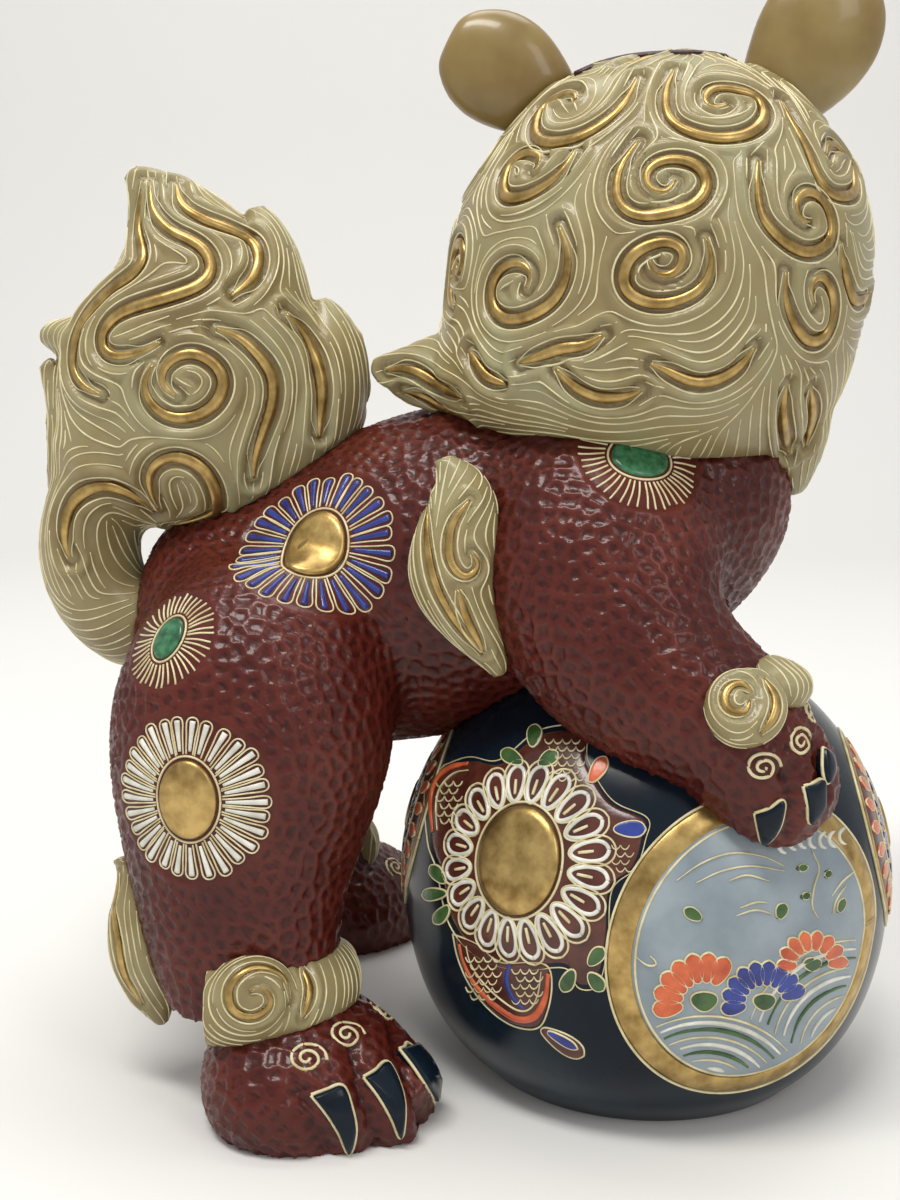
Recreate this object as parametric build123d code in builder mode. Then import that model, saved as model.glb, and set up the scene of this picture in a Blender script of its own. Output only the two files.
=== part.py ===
"""Porcelain guardian lion with its forepaws on a ball, head turned to its left side.

Frame, in millimetres: +X is the way the body faces, +Y is the lion's left, where the face looks,
+Z is up. The origin is on the floor, below the middle of the whole figure.
"""
from build123d import *
import os
from math import cos, pi, radians, sin

os.makedirs("parts", exist_ok=True)

# Driving dimensions
WALL = 6.0
HIP_Y = 3.0
HIP_MIRROR = {"right": None, "left": HIP_Y}
FLANK_Y = -7.0
FLANK_MIRROR = {"right": None, "left": FLANK_Y}
SIDES = ("right", "left")

BALL_CENTRE = (63.0, -26.0, 65.0)
BALL_RADIUS = 84.5
BALL_FOOT_RADIUS = 58.0
BALL_WAIST = (77.5, 27.0)
BALL_FOOT_WIDTH = 7.0
BALL_FOOT_DEPTH = 3.0
PAW_MIRROR = {"right": None, "left": BALL_CENTRE[1]}

HEAD_X = 67.0
EYE_SPREAD = 27.0
EYE_RADIUS = 12.5
EYE_Y = 60.0
EYE_Z = 295.0

TOOTH_RADIUS = 3.4
TOOTH_TAPER = 0.65
TOOTH_LENGTH = 12.0
FANG_LENGTH = 19.0
FANG_TIP_RADIUS = 0.8
TOOTH_ANGLES = (-75, -32, -11, 11, 32, 75)
FANG_ANGLES = (-54, 54)
# Each arch of teeth is its half width, its depth, where it starts along Y and its height.
UPPER_ARCH = (34.0, 17.0, 62.0, 253.0)
LOWER_ARCH = (27.0, 13.0, 60.0, 233.0)

# Each body section is a centre (x, y, z), the slope of the spine in degrees, the half width and
# the half height.
TORSO = (
    ((-117, 0, 134), 8, 12, 13),
    ((-108, 0, 137), 10, 29, 32),
    ((-90, 0, 143), 14, 41, 45),
    ((-60, -1, 152), 18, 48, 49),
    ((-16, -5, 166), 18, 52, 56),
    ((25, -10, 180), 15, 54, 53),
    ((60, -13, 190), 10, 51, 49),
    ((88, -14, 196), 4, 41, 40),
    ((104, -14, 198), 0, 26, 26),
    ((110, -14, 198), 0, 12, 13),
)

# Each upright section is a centre (x, y, z), the half length along X and the half width along Y.
NECK = (
    ((38, -12, 206), 50, 44),
    ((56, -13, 226), 50, 45),
    ((65, -14, 250), 46, 42),
)
HAUNCH = (
    ((-64, -38, 178), 22, 18),
    ((-67, -44, 160), 38, 32),
    ((-70, -50, 130), 46, 38),
    ((-72, -54, 102), 43.5, 36),
    ((-74, -58, 79), 37, 31),
    ((-74, -62, 57), 32, 26),
    ((-70, -66, 36), 28, 24),
)
MANE = (
    ((66, -13, 214), 46, 44),
    ((60, -14, 224), 62, 58),
    ((59, -15, 240), 70, 65),
    ((64, -15, 264), 70, 67),
    ((66, -14, 290), 68, 65),
    ((67, -13, 312), 57, 56),
    ((67, -12, 327), 44, 45),
    ((67, -11, 336), 31, 33),
    ((67, -11, 341), 18, 18),
)

# Each limb station is a point (x, y, z) and the half width and half depth of the limb there.
HIND_PAW = (
    ((-82, -65, 16), 10, 15),
    ((-74, -67, 15), 21, 27),
    ((-59, -73, 14), 26, 36),
    ((-38, -79, 10), 25, 31),
    ((-23, -84, 8), 18, 21),
    ((-13, -87, 7), 11, 13),
)
FORELEG = {
    "right": (
        ((42, -36, 206), 28, 34),
        ((43, -52, 186), 31, 38),
        ((47, -64, 166), 29, 37),
        ((60, -75, 147), 26, 30),
        ((80, -86, 134), 22, 24),
        ((88, -89, 127), 19, 20),
    ),
    "left": (
        ((42, 8, 206), 28, 34),
        ((43, 24, 186), 31, 38),
        ((47, 34, 166), 29, 37),
        ((60, 37, 147), 26, 30),
        ((80, 34, 134), 22, 24),
        ((88, 37, 127), 19, 20),
    ),
}
FORE_PAW = (
    ((82, -88, 132), 17, 17),
    ((89, -90, 125), 20, 20),
    ((96, -91, 117), 20.5, 18),
    ((102, -91, 110), 17, 14),
    ((106, -91, 105), 10, 8),
)
FORE_TOE_ROW = (0.61, 0.68, 0.41)

# The face: sections square to Y, each a centre (x, y, z), the half width and the half height.
FACE = (
    ((67, 8, 283), 60, 54),
    ((67, 30, 281), 60, 50),
    ((67, 46, 280), 55, 42),
    ((67, 58, 275), 50, 33),
    ((67, 70, 270), 45, 25),
    ((67, 80, 268), 38, 19),
    ((67, 86, 268), 26, 12),
)
JAW = (
    ((67, 26, 236), 46, 18),
    ((67, 44, 230), 43, 15),
    ((67, 60, 226), 38, 11),
    ((67, 74, 226), 29, 8),
    ((67, 81, 227), 15, 4.5),
)
TONGUE = (
    ((67, 40, 246), 20, 6),
    ((67, 54, 240.5), 20, 6),
    ((67, 64, 238.5), 15, 5),
    ((67, 70, 239), 8, 3),
)
NOSE = (
    ((67, 68, 284), 14, 7),
    ((67, 77, 283), 20, 11),
    ((67, 86, 280), 19, 11),
    ((67, 92, 278), 11, 6),
)
BROW = (
    ((60, 77, 297), 4.5, 4.5),
    ((72, 75, 306), 7, 7),
    ((90, 66, 313), 8, 8),
    ((107, 51, 309), 8, 8),
    ((119, 36, 296), 5, 5),
)
BROW_ACROSS = (0, 0.6, 0.8)
BROW_GAP = 1.0
BEARD_LOCKS = (
    (((67, 50, 222), 20, 13), ((67, 62, 211), 14, 11), ((67, 73, 204), 8, 7), ((67, 80, 203), 2, 2)),
    (((40, 42, 226), 16, 13), ((34, 52, 215), 11, 10), ((29, 61, 209), 6, 6), ((26, 66, 209), 2, 2)),
    (((94, 42, 226), 16, 13), ((100, 52, 215), 11, 10), ((105, 61, 209), 6, 6), ((108, 66, 209), 2, 2)),
)

# Tail locks: stations of the curled root, then of each flame of the plume.
TAIL_LOOP = (
    ((-104, 0, 152), 17, 15),
    ((-121, 0, 152), 19, 17),
    ((-132, 0, 166), 19, 17),
    ((-132, 0, 186), 20, 17),
    ((-122, 0, 204), 24, 22),
)
PLUME_LOCKS = (
    (((-68, 0, 190), 16, 14), ((-82, 0, 206), 38, 28), ((-93, 0, 232), 50, 33), ((-94, 0, 258), 42, 31),
     ((-96, 0, 278), 27, 24), ((-103, 0, 294), 14, 15), ((-114, 0, 306), 3, 4)),
    (((-112, 0, 200), 22, 20), ((-118, 0, 222), 26, 26), ((-125, 0, 240), 18, 21), ((-136, 0, 250), 8, 13),
     ((-147, 0, 251), 2.5, 3)),
    (((-84, 0, 222), 26, 26), ((-76, 0, 246), 26, 26), ((-72, 0, 266), 19, 21), ((-69, 0, 282), 10, 13),
     ((-72, 0, 294), 3, 4)),
    (((-76, 0, 208), 22, 24), ((-60, 0, 226), 24, 22), ((-50, 0, 242), 17, 17), ((-47, 0, 255), 8, 9),
     ((-50, 0, 263), 2.5, 3)),
    (((-122, 0, 192), 16, 16), ((-130, 0, 208), 14, 15), ((-137, 0, 223), 9, 10), ((-146, 0, 241), 2.5, 3)),
)
MANE_LOCKS = (
    (((30, -22, 236), 26, 15), ((4, -20, 240), 16, 16), ((-14, -16, 239), 9, 11), ((-31, -12, 241), 2, 2.5)),
    (((96, -24, 240), 26, 22), ((104, -26, 224), 19, 20), ((110, -24, 210), 10, 11), ((113, -20, 199), 2.5, 3)),
)

# Ears: stations from the head to the rim.
EARS = {
    "left": (
        ((34, -6, 324), 8, 11),
        ((24, -6, 331), 10, 15.5),
        ((12, -6, 339), 10, 19),
        ((2, -6, 344), 8, 16.5),
        ((-6, -6, 348), 4, 8),
    ),
    "right": (
        ((98, -6, 322), 8, 12),
        ((108, -6, 335), 10, 17),
        ((119, -6, 352), 10, 21),
        ((125, -6, 362), 8, 18),
        ((130, -6, 370), 4, 9),
    ),
}
EAR_CUP_SHIFT = 9.0
EAR_CUP_SHARE = 0.72

# Flame-shaped tufts on the right flank and behind the right hock, from tip to tip.
FLANK_TUFT = (
    ((11, -68, 146), 2, 2),
    ((3, -67, 161), 8, 9),
    ((-4, -66, 178), 9, 13.5),
    ((-2, -64, 196), 8, 12),
    ((-7, -62, 214), 2, 3),
)
HEEL_TUFT = (
    ((-102, -61, 24), 2, 2),
    ((-105, -61, 38), 7, 9),
    ((-108, -60, 54), 8, 11),
    ((-110, -59, 68), 6, 7),
    ((-114, -59, 81), 2, 2),
)

# Cuffs: rings a little larger than the ankle and the wrist, kept on their outer faces.
ANKLE_CUFF = (
    ((-72, -67, 31), 31, 26),
    ((-72, -66, 35), 36, 31),
    ((-73, -65, 43), 38, 33),
    ((-75, -63, 50), 37, 31),
    ((-76, -62, 54), 32, 26),
)
ANKLE_CUFF_BACK_X = -82.0
ANKLE_CUFF_INNER_Y = -58.0
ANKLE_VOLUTE = (((-68, -86, 47), 13, 12), ((-68, -95, 47), 12, 11), ((-68, -99, 47), 7, 6.5))
# Wrist lobes: the point on the axis of the limb below each lobe, its outward direction, its radius.
WRIST_LOBES = (
    ((83, -87, 131), (-0.04, -0.81, 0.59), 11),
    ((88, -88, 128), (0.29, -0.25, 0.92), 9),
)
WRIST_RADIUS = 24.0
LOBE_HEIGHT = 5.0

# Claws: stations from inside each toe to the tip.
HIND_CLAWS = (
    (((-46, -90, 23), 5.5, 5.5), ((-41, -101, 13), 5.5, 5), ((-37, -104, 2.5), 1.2, 1.2)),
    (((-31, -86, 25), 5.5, 5.5), ((-23, -97, 15), 5.5, 5), ((-19.5, -99, 2.5), 1.2, 1.2)),
    (((-19, -76, 26), 5.5, 5.5), ((-8, -84, 16), 5.5, 5), ((-5, -85, 2.5), 1.2, 1.2)),
)
FORE_CLAWS = (
    (((89, -102, 117), 5, 5.5), ((93, -108, 109), 5, 5.5), ((91, -101, 100), 1.2, 1.2)),
    (((102, -97, 117), 5, 5.5), ((109, -99, 111), 5, 5.5), ((108, -91, 102.5), 1.2, 1.2)),
    (((111, -85, 124), 5, 5.5), ((119, -85, 120), 5, 5.5), ((119, -77, 111), 1.2, 1.2)),
)


def hind_y(side, y):
    """Y of a hind-leg point given for the right leg, carried over to either leg."""
    return y if side == "right" else 2 * HIP_Y - y


def oval(centre, across, towards, half_across, half_deep):
    """Elliptical section at centre, square to towards, with half_across along across."""
    with BuildSketch(Plane(origin=centre, x_dir=across, z_dir=towards)) as section:
        Ellipse(half_across, half_deep)
    return section.sketch.face()


def body_sections(stations, inset=0.0):
    """Sections of the torso, leaning with its spine."""
    faces = []
    for centre, slope, half_width, half_height in stations:
        towards = (cos(radians(slope)), 0, sin(radians(slope)))
        faces.append(oval(centre, (0, 1, 0), towards, half_width - inset, half_height - inset))
    return faces


def upright_sections(stations, side="right", inset=0.0):
    """Level sections of an upright form."""
    faces = []
    for (x, y, z), half_x, half_y in stations:
        centre = (x, hind_y(side, y), z)
        faces.append(oval(centre, (1, 0, 0), (0, 0, 1), half_x - inset, half_y - inset))
    return faces


def face_sections(stations, inset=0.0):
    """Sections square to Y, for what grows out of the face."""
    faces = []
    for centre, half_x, half_z in stations:
        faces.append(oval(centre, (1, 0, 0), (0, 1, 0), half_x - inset, half_z - inset))
    return faces


def limb_sections(stations, across=(0, 1, 0), mirror_y=None, inset=0.0):
    """Sections square to a limb that runs from station to station, or to its mirror image."""
    points = []
    for (x, y, z), half_across, half_deep in stations:
        points.append(Vector(x, y if mirror_y is None else 2 * mirror_y - y, z))
    faces = []
    last = len(points) - 1
    for index, (centre, half_across, half_deep) in enumerate(stations):
        towards = points[min(index + 1, last)] - points[max(index - 1, 0)]
        way = towards.normalized()
        faces.append(oval(points[index], across, way, half_across - inset, half_deep - inset))
    return faces


def toe_row(side):
    """Direction of the row of toes of a fore paw."""
    x, y, z = FORE_TOE_ROW
    return (x, y if side == "right" else -y, z)


def arch_points(arch, angles):
    """Points along the arch of a jaw."""
    half_width, depth, start_y, height = arch
    turns = [radians(angle) for angle in angles]
    return [(HEAD_X + half_width * sin(turn), start_y + depth * cos(turn), height) for turn in turns]


def finish(piece, name):
    """Label a finished piece and write it out."""
    piece.part.label = name
    export_step(piece.part, f"parts/{name}.step")
    print(name, len(piece.part.solids()), round(piece.part.volume))


# The ball, a hollow casting that stands on its own foot ring.
ball_plane = Plane(origin=(BALL_CENTRE[0], BALL_CENTRE[1], 0), x_dir=(1, 0, 0), z_dir=(0, -1, 0))
ball_axis = Axis((BALL_CENTRE[0], BALL_CENTRE[1], 0), (0, 0, 1))
ball_top = BALL_CENTRE[2] + BALL_RADIUS
ball_shoulder = BALL_RADIUS * cos(pi / 4)
with BuildPart() as ball_form:
    with BuildSketch(ball_plane):
        with BuildLine():
            Line((0, ball_top), (0, 0))
            Line((0, 0), (BALL_FOOT_RADIUS, 0))
            Spline(
                (BALL_FOOT_RADIUS, 0),
                BALL_WAIST,
                (BALL_RADIUS, BALL_CENTRE[2]),
                tangents=((0.8, 1), (0, 1)),
            )
            ThreePointArc(
                (BALL_RADIUS, BALL_CENTRE[2]),
                (ball_shoulder, BALL_CENTRE[2] + ball_shoulder),
                (0, ball_top),
            )
        make_face()
    revolve(axis=ball_axis)

cavity_radius = BALL_RADIUS - WALL
cavity_floor = BALL_FOOT_DEPTH + WALL
with BuildPart() as ball:
    add(ball_form.part)
    with BuildSketch(ball_plane):
        with Locations((0, BALL_CENTRE[2])):
            Circle(cavity_radius)
        with Locations((-cavity_radius, 0)):
            Rectangle(2 * cavity_radius, 4 * cavity_radius, mode=Mode.SUBTRACT)
        with Locations((0, cavity_floor - 2 * cavity_radius)):
            Rectangle(4 * cavity_radius, 4 * cavity_radius, mode=Mode.SUBTRACT)
    revolve(axis=ball_axis, mode=Mode.SUBTRACT)
    with BuildSketch(Plane(origin=(BALL_CENTRE[0], BALL_CENTRE[1], 0))):
        Circle(BALL_FOOT_RADIUS - BALL_FOOT_WIDTH)
    extrude(amount=BALL_FOOT_DEPTH, mode=Mode.SUBTRACT)
finish(ball, "ball")

# The torso: barrel, chest and neck, hollow, resting on top of the ball.
with BuildPart() as torso_form:
    loft(sections=body_sections(TORSO))
    loft(sections=upright_sections(NECK))
    add(ball_form.part, mode=Mode.SUBTRACT)

with BuildPart() as torso:
    add(torso_form.part)
    loft(sections=body_sections(TORSO[1:7], WALL), mode=Mode.SUBTRACT)
finish(torso, "torso")

# The hind legs: haunch down to the ankle, then the paw with its flat sole.
haunch_forms = {}
hind_paw_forms = {}
for side in SIDES:
    with BuildPart() as haunch_form:
        loft(sections=upright_sections(HAUNCH, side))
        add(torso_form.part, mode=Mode.SUBTRACT)
    haunch_forms[side] = haunch_form

    with BuildPart() as haunch:
        add(haunch_form.part)
        loft(sections=upright_sections(HAUNCH[2:6], side, WALL), mode=Mode.SUBTRACT)
    finish(haunch, f"haunch_{side}")

    with BuildPart() as hind_paw:
        loft(sections=limb_sections(HIND_PAW, (0, 0, 1), HIP_MIRROR[side]))
        split(bisect_by=Plane.XY, keep=Keep.TOP)
        add(haunch_form.part, mode=Mode.SUBTRACT)
    hind_paw_forms[side] = hind_paw
    finish(hind_paw, f"hind_paw_{side}")

# The forelegs, hollow too, luted to the torso and bedded on the ball.
foreleg_forms = {}
fore_paw_forms = {}
for side in SIDES:
    with BuildPart() as foreleg_form:
        loft(sections=limb_sections(FORELEG[side]))
        add(torso_form.part, mode=Mode.SUBTRACT)
        add(ball_form.part, mode=Mode.SUBTRACT)
    foreleg_forms[side] = foreleg_form

    with BuildPart() as foreleg:
        add(foreleg_form.part)
        loft(sections=limb_sections(FORELEG[side][2:5], inset=WALL), mode=Mode.SUBTRACT)
    finish(foreleg, f"foreleg_{side}")

    with BuildPart() as fore_paw:
        loft(sections=limb_sections(FORE_PAW, toe_row(side), PAW_MIRROR[side]))
        add(foreleg_form.part, mode=Mode.SUBTRACT)
        add(ball_form.part, mode=Mode.SUBTRACT)
    fore_paw_forms[side] = fore_paw
    finish(fore_paw, f"fore_paw_{side}")

# The mane: a hollow casting over the neck, with flaring lock tips at its lower edge.
with BuildPart() as mane_form:
    loft(sections=upright_sections(MANE))
    for lock in MANE_LOCKS:
        loft(sections=limb_sections(lock))
    add(torso_form.part, mode=Mode.SUBTRACT)
    for side in SIDES:
        add(foreleg_forms[side].part, mode=Mode.SUBTRACT)

with BuildPart() as mane:
    add(mane_form.part)
    loft(sections=upright_sections(MANE[3:8], "right", WALL), mode=Mode.SUBTRACT)
finish(mane, "mane")

# The face: its mask, then what is set on it and in its open mouth.
eye_centres = {"right": (HEAD_X + EYE_SPREAD, EYE_Y, EYE_Z), "left": (HEAD_X - EYE_SPREAD, EYE_Y, EYE_Z)}
with BuildPart() as eye_pair:
    with Locations(*eye_centres.values()):
        Sphere(EYE_RADIUS)

with BuildPart() as face_form:
    loft(sections=face_sections(FACE))

with BuildPart() as face_mask:
    add(face_form.part)
    for neighbour in (mane_form, torso_form, eye_pair):
        add(neighbour.part, mode=Mode.SUBTRACT)
finish(face_mask, "face_mask")

with BuildPart() as lower_jaw:
    loft(sections=face_sections(JAW))
    for neighbour in (mane_form, torso_form, face_mask, foreleg_forms["left"]):
        add(neighbour.part, mode=Mode.SUBTRACT)
finish(lower_jaw, "lower_jaw")

with BuildPart() as tongue:
    loft(sections=face_sections(TONGUE))
    for neighbour in (lower_jaw, mane_form, face_mask):
        add(neighbour.part, mode=Mode.SUBTRACT)
finish(tongue, "tongue")

with BuildPart() as upper_teeth:
    with Locations(*arch_points(UPPER_ARCH, TOOTH_ANGLES)):
        Cone(TOOTH_RADIUS * TOOTH_TAPER, TOOTH_RADIUS, TOOTH_LENGTH)
    with Locations(*arch_points(UPPER_ARCH, FANG_ANGLES)):
        Cone(FANG_TIP_RADIUS, TOOTH_RADIUS, FANG_LENGTH)
    add(face_mask.part, mode=Mode.SUBTRACT)
finish(upper_teeth, "upper_teeth")

with BuildPart() as lower_teeth:
    with Locations(*arch_points(LOWER_ARCH, TOOTH_ANGLES)):
        Cone(TOOTH_RADIUS, TOOTH_RADIUS * TOOTH_TAPER, TOOTH_LENGTH)
    with Locations(*arch_points(LOWER_ARCH, FANG_ANGLES)):
        Cone(TOOTH_RADIUS, FANG_TIP_RADIUS, FANG_LENGTH)
    add(lower_jaw.part, mode=Mode.SUBTRACT)
    add(tongue.part, mode=Mode.SUBTRACT)
finish(lower_teeth, "lower_teeth")

with BuildPart() as nose:
    loft(sections=face_sections(NOSE))
    add(face_mask.part, mode=Mode.SUBTRACT)
finish(nose, "nose")

for side in SIDES:
    with BuildPart() as eye:
        with Locations(eye_centres[side]):
            Sphere(EYE_RADIUS)
    finish(eye, f"eye_{side}")

    with BuildPart() as brow:
        loft(sections=limb_sections(BROW, BROW_ACROSS))
        split(bisect_by=Plane.YZ.offset(HEAD_X + BROW_GAP / 2), keep=Keep.TOP)
        add(face_form.part, mode=Mode.SUBTRACT)
        for neighbour in (eye_pair, nose, mane_form):
            add(neighbour.part, mode=Mode.SUBTRACT)
        if side == "left":
            mirror(about=Plane.YZ.offset(HEAD_X), mode=Mode.REPLACE)
    finish(brow, f"brow_{side}")

with BuildPart() as beard:
    for lock in BEARD_LOCKS:
        loft(sections=limb_sections(lock, (1, 0, 0)))
    for neighbour in (lower_jaw, mane_form, torso_form, foreleg_forms["left"]):
        add(neighbour.part, mode=Mode.SUBTRACT)
finish(beard, "beard")

# The ears, cupped towards the face.
for side in SIDES:
    with BuildPart() as ear:
        loft(sections=limb_sections(EARS[side]))
        cup = []
        for (x, y, z), deep, wide in EARS[side][1:]:
            cup.append(((x, y + EAR_CUP_SHIFT, z), deep, EAR_CUP_SHARE * wide))
        loft(sections=limb_sections(cup), mode=Mode.SUBTRACT)
        add(mane_form.part, mode=Mode.SUBTRACT)
    finish(ear, f"ear_{side}")

# The tail: a curled root, open in its middle, and the plume of flames above it.
with BuildPart() as tail_loop:
    loft(sections=limb_sections(TAIL_LOOP))
    for neighbour in (torso_form, *haunch_forms.values()):
        add(neighbour.part, mode=Mode.SUBTRACT)
finish(tail_loop, "tail_loop")

with BuildPart() as tail_plume:
    for lock in PLUME_LOCKS:
        loft(sections=limb_sections(lock, (1, 0, 0)))
    add(tail_loop.part, mode=Mode.SUBTRACT)
    add(torso_form.part, mode=Mode.SUBTRACT)
    loft(sections=limb_sections(PLUME_LOCKS[0][1:5], (1, 0, 0), inset=WALL), mode=Mode.SUBTRACT)
finish(tail_plume, "tail_plume")

# Flame-shaped tufts on the flanks and at the hocks, and cuffs over the ankles and the wrists.
for side in SIDES:
    outward = -1 if side == "right" else 1
    with BuildPart() as flank_tuft:
        loft(sections=limb_sections(FLANK_TUFT, mirror_y=FLANK_MIRROR[side]))
        for neighbour in (torso_form, haunch_forms[side], foreleg_forms[side], mane_form):
            add(neighbour.part, mode=Mode.SUBTRACT)
    finish(flank_tuft, f"flank_tuft_{side}")

    with BuildPart() as heel_tuft:
        loft(sections=limb_sections(HEEL_TUFT, mirror_y=HIP_MIRROR[side]))
        add(haunch_forms[side].part, mode=Mode.SUBTRACT)
        add(hind_paw_forms[side].part, mode=Mode.SUBTRACT)
    finish(heel_tuft, f"heel_tuft_{side}")

    cuff_edge = Plane(origin=(ANKLE_CUFF_BACK_X, 0, 0), z_dir=(1, 0, 0))
    inner_edge = Plane(origin=(0, hind_y(side, ANKLE_CUFF_INNER_Y), 0), z_dir=(0, outward, 0))
    volute = [((x, hind_y(side, y), z), half_x, half_z) for (x, y, z), half_x, half_z in ANKLE_VOLUTE]
    with BuildPart() as ankle_cuff:
        loft(sections=upright_sections(ANKLE_CUFF, side))
        split(bisect_by=cuff_edge, keep=Keep.TOP)
        split(bisect_by=inner_edge, keep=Keep.TOP)
        loft(sections=face_sections(volute))
        add(haunch_forms[side].part, mode=Mode.SUBTRACT)
        add(hind_paw_forms[side].part, mode=Mode.SUBTRACT)
    finish(ankle_cuff, f"ankle_cuff_{side}")

    mirror_wrist = Plane.XZ.offset(-BALL_CENTRE[1])
    with BuildPart() as wrist_cuff:
        for foot, outward_dir, radius in WRIST_LOBES:
            base = Vector(foot)
            way = Vector(outward_dir)
            stations = ((WRIST_RADIUS - radius / 2, radius), (WRIST_RADIUS + LOBE_HEIGHT / 2, radius),
                        (WRIST_RADIUS + LOBE_HEIGHT, radius / 2))
            loft(sections=[oval(base + way * reach, (1, 0, 0), way, size, size) for reach, size in stations])
        if side == "left":
            mirror(about=mirror_wrist, mode=Mode.REPLACE)
        for neighbour in (foreleg_forms[side], fore_paw_forms[side], ball_form):
            add(neighbour.part, mode=Mode.SUBTRACT)
    finish(wrist_cuff, f"wrist_cuff_{side}")

# The claws, three to a paw.
for side in SIDES:
    with BuildPart() as hind_claws:
        for claw in HIND_CLAWS:
            loft(sections=limb_sections(claw, (0.6, 0.8, 0), HIP_MIRROR[side]))
        add(hind_paw_forms[side].part, mode=Mode.SUBTRACT)
    finish(hind_claws, f"hind_claws_{side}")

    with BuildPart() as fore_claws:
        for claw in FORE_CLAWS:
            loft(sections=limb_sections(claw, (0.6, 0.8, 0), PAW_MIRROR[side]))
        for neighbour in (fore_paw_forms[side], foreleg_forms[side], ball_form):
            add(neighbour.part, mode=Mode.SUBTRACT)
    finish(fore_claws, f"fore_claws_{side}")
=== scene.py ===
import math
import random

import bpy
import numpy as np
import openvdb
from mathutils import Euler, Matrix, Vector
from mathutils.bvhtree import BVHTree
from mathutils.kdtree import KDTree


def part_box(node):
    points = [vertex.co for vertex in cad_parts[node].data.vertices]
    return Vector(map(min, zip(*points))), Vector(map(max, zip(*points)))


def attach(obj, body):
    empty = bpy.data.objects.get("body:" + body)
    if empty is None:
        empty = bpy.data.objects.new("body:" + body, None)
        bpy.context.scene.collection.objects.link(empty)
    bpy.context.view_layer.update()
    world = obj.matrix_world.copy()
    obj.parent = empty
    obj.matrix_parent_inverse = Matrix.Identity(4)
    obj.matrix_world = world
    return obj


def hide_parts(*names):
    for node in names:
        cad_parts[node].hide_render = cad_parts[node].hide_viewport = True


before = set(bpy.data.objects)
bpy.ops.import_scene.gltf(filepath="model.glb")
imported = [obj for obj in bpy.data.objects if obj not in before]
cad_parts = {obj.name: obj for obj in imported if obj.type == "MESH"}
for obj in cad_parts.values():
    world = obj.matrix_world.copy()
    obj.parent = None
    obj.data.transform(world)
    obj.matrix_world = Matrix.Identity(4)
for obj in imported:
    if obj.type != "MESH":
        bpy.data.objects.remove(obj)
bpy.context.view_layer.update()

# Lengths in this script are millimetres until a mesh is made; meshes are in metres.
MM = 0.001
SEED = 7

# The camera of the photograph, with its focal length in pixels.
PHOTO_WIDTH = 900
PHOTO_HEIGHT = 1200
FOCAL_PIXELS = 1600
CAMERA_AT = Vector((-5, -565, 263))
CAMERA_TILT = math.radians(79.4)
SENSOR = 36

# Sizes of the level-set skins: voxels, fillets, how much thicker than its nodes each one is, and how
# far the distances reach, in voxels and as a share of the fillet.
SKIN_VOXEL = 1.2
SKIN_BLEND = 9
SKIN_GROW = 0.2
HAIR_VOXEL = 1.0
HAIR_BLEND = 4
HAIR_GROW = 0.3
FACE_VOXEL = 1.0
FACE_BLEND = 2
FACE_GROW = 0.15
BAND_VOXELS = 3
BAND_BLEND = 1.3

# Mirror planes: y for the hind legs, the forelegs and the flanks, x for the turned head.
HIND_MIRROR_Y = 3
FORE_MIRROR_Y = -26
FLANK_MIRROR_Y = -7
HEAD_X = 67

# Raised strokes of glaze: half width and height of a fine one, the depth of its foot, and the steps
# between points, in pixels on the photograph and in mm on the surface.
FINE_HALF = 0.36
FINE_HEIGHT = 0.4
FOOT_DEPTH = 0.35
PIXEL_STEP = 3
FINE_STEP = 0.8
BALL_STEP = 0.9
HAIR_STEP = 1.2

camera_turn = Euler((CAMERA_TILT, 0, 0)).to_matrix()


# Meshes.

def node_arrays(name):
    """Vertices in mm and triangles of a CAD node."""
    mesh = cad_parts[name].data
    mesh.calc_loop_triangles()
    points = np.empty(len(mesh.vertices) * 3, np.float32)
    mesh.vertices.foreach_get("co", points)
    corners = np.empty(len(mesh.loop_triangles) * 3, np.int32)
    mesh.loop_triangles.foreach_get("vertices", corners)
    return points.reshape(-1, 3) / MM, corners.reshape(-1, 3).astype(np.uint32)


def distance_field(name, low, shape, voxel, band):
    """Signed distance in mm to a CAD node on a box of voxels."""
    points, triangles = node_arrays(name)
    grid = openvdb.FloatGrid.createLevelSetFromPolygons(
        points, triangles=triangles,
        transform=openvdb.createLinearTransform(voxelSize=voxel), halfWidth=band / voxel)
    field = np.empty(shape, np.float32)
    grid.copyToArray(field, ijk=tuple(int(round(v / voxel)) for v in low))
    return field


def smooth_union(first, second, blend):
    """The union of two fields with a fillet about as wide as blend."""
    share = np.maximum(blend - np.abs(first - second), 0) / blend
    return np.minimum(first, second) - share * share * blend / 4


def skin(names, voxel, blend, grow):
    """Vertices in mm and quads of the blended surface round some CAD nodes."""
    band = max((BAND_VOXELS + 1) * voxel, blend * BAND_BLEND)
    corners = np.array([[c / MM for c in corner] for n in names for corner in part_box(n)])
    low = np.floor((corners.min(0) - band) / voxel) * voxel
    shape = tuple(np.ceil((corners.max(0) + band - low) / voxel).astype(int))
    field = distance_field(names[0], low, shape, voxel, band)
    for name in names[1:]:
        field = smooth_union(field, distance_field(name, low, shape, voxel, band), blend)
    field = np.clip((field - grow) / voxel, -BAND_VOXELS, BAND_VOXELS)
    grid = openvdb.FloatGrid(float(BAND_VOXELS))
    grid.copyFromArray(np.ascontiguousarray(field, np.float32))
    points, quads = grid.convertToQuads(0.0)
    return points.astype(np.float64) * voxel + low, quads.astype(np.int64)


def unit(rows):
    """Each row of an array at length 1."""
    return rows / np.maximum(np.linalg.norm(rows, axis=-1, keepdims=True), 1e-9)


def face_normals(points, quads):
    return np.cross(points[quads[:, 2]] - points[quads[:, 0]], points[quads[:, 3]] - points[quads[:, 1]])


def vertex_normals(points, quads):
    total = np.zeros_like(points)
    for corner in range(4):
        np.add.at(total, quads[:, corner], face_normals(points, quads))
    return unit(total)


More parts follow.
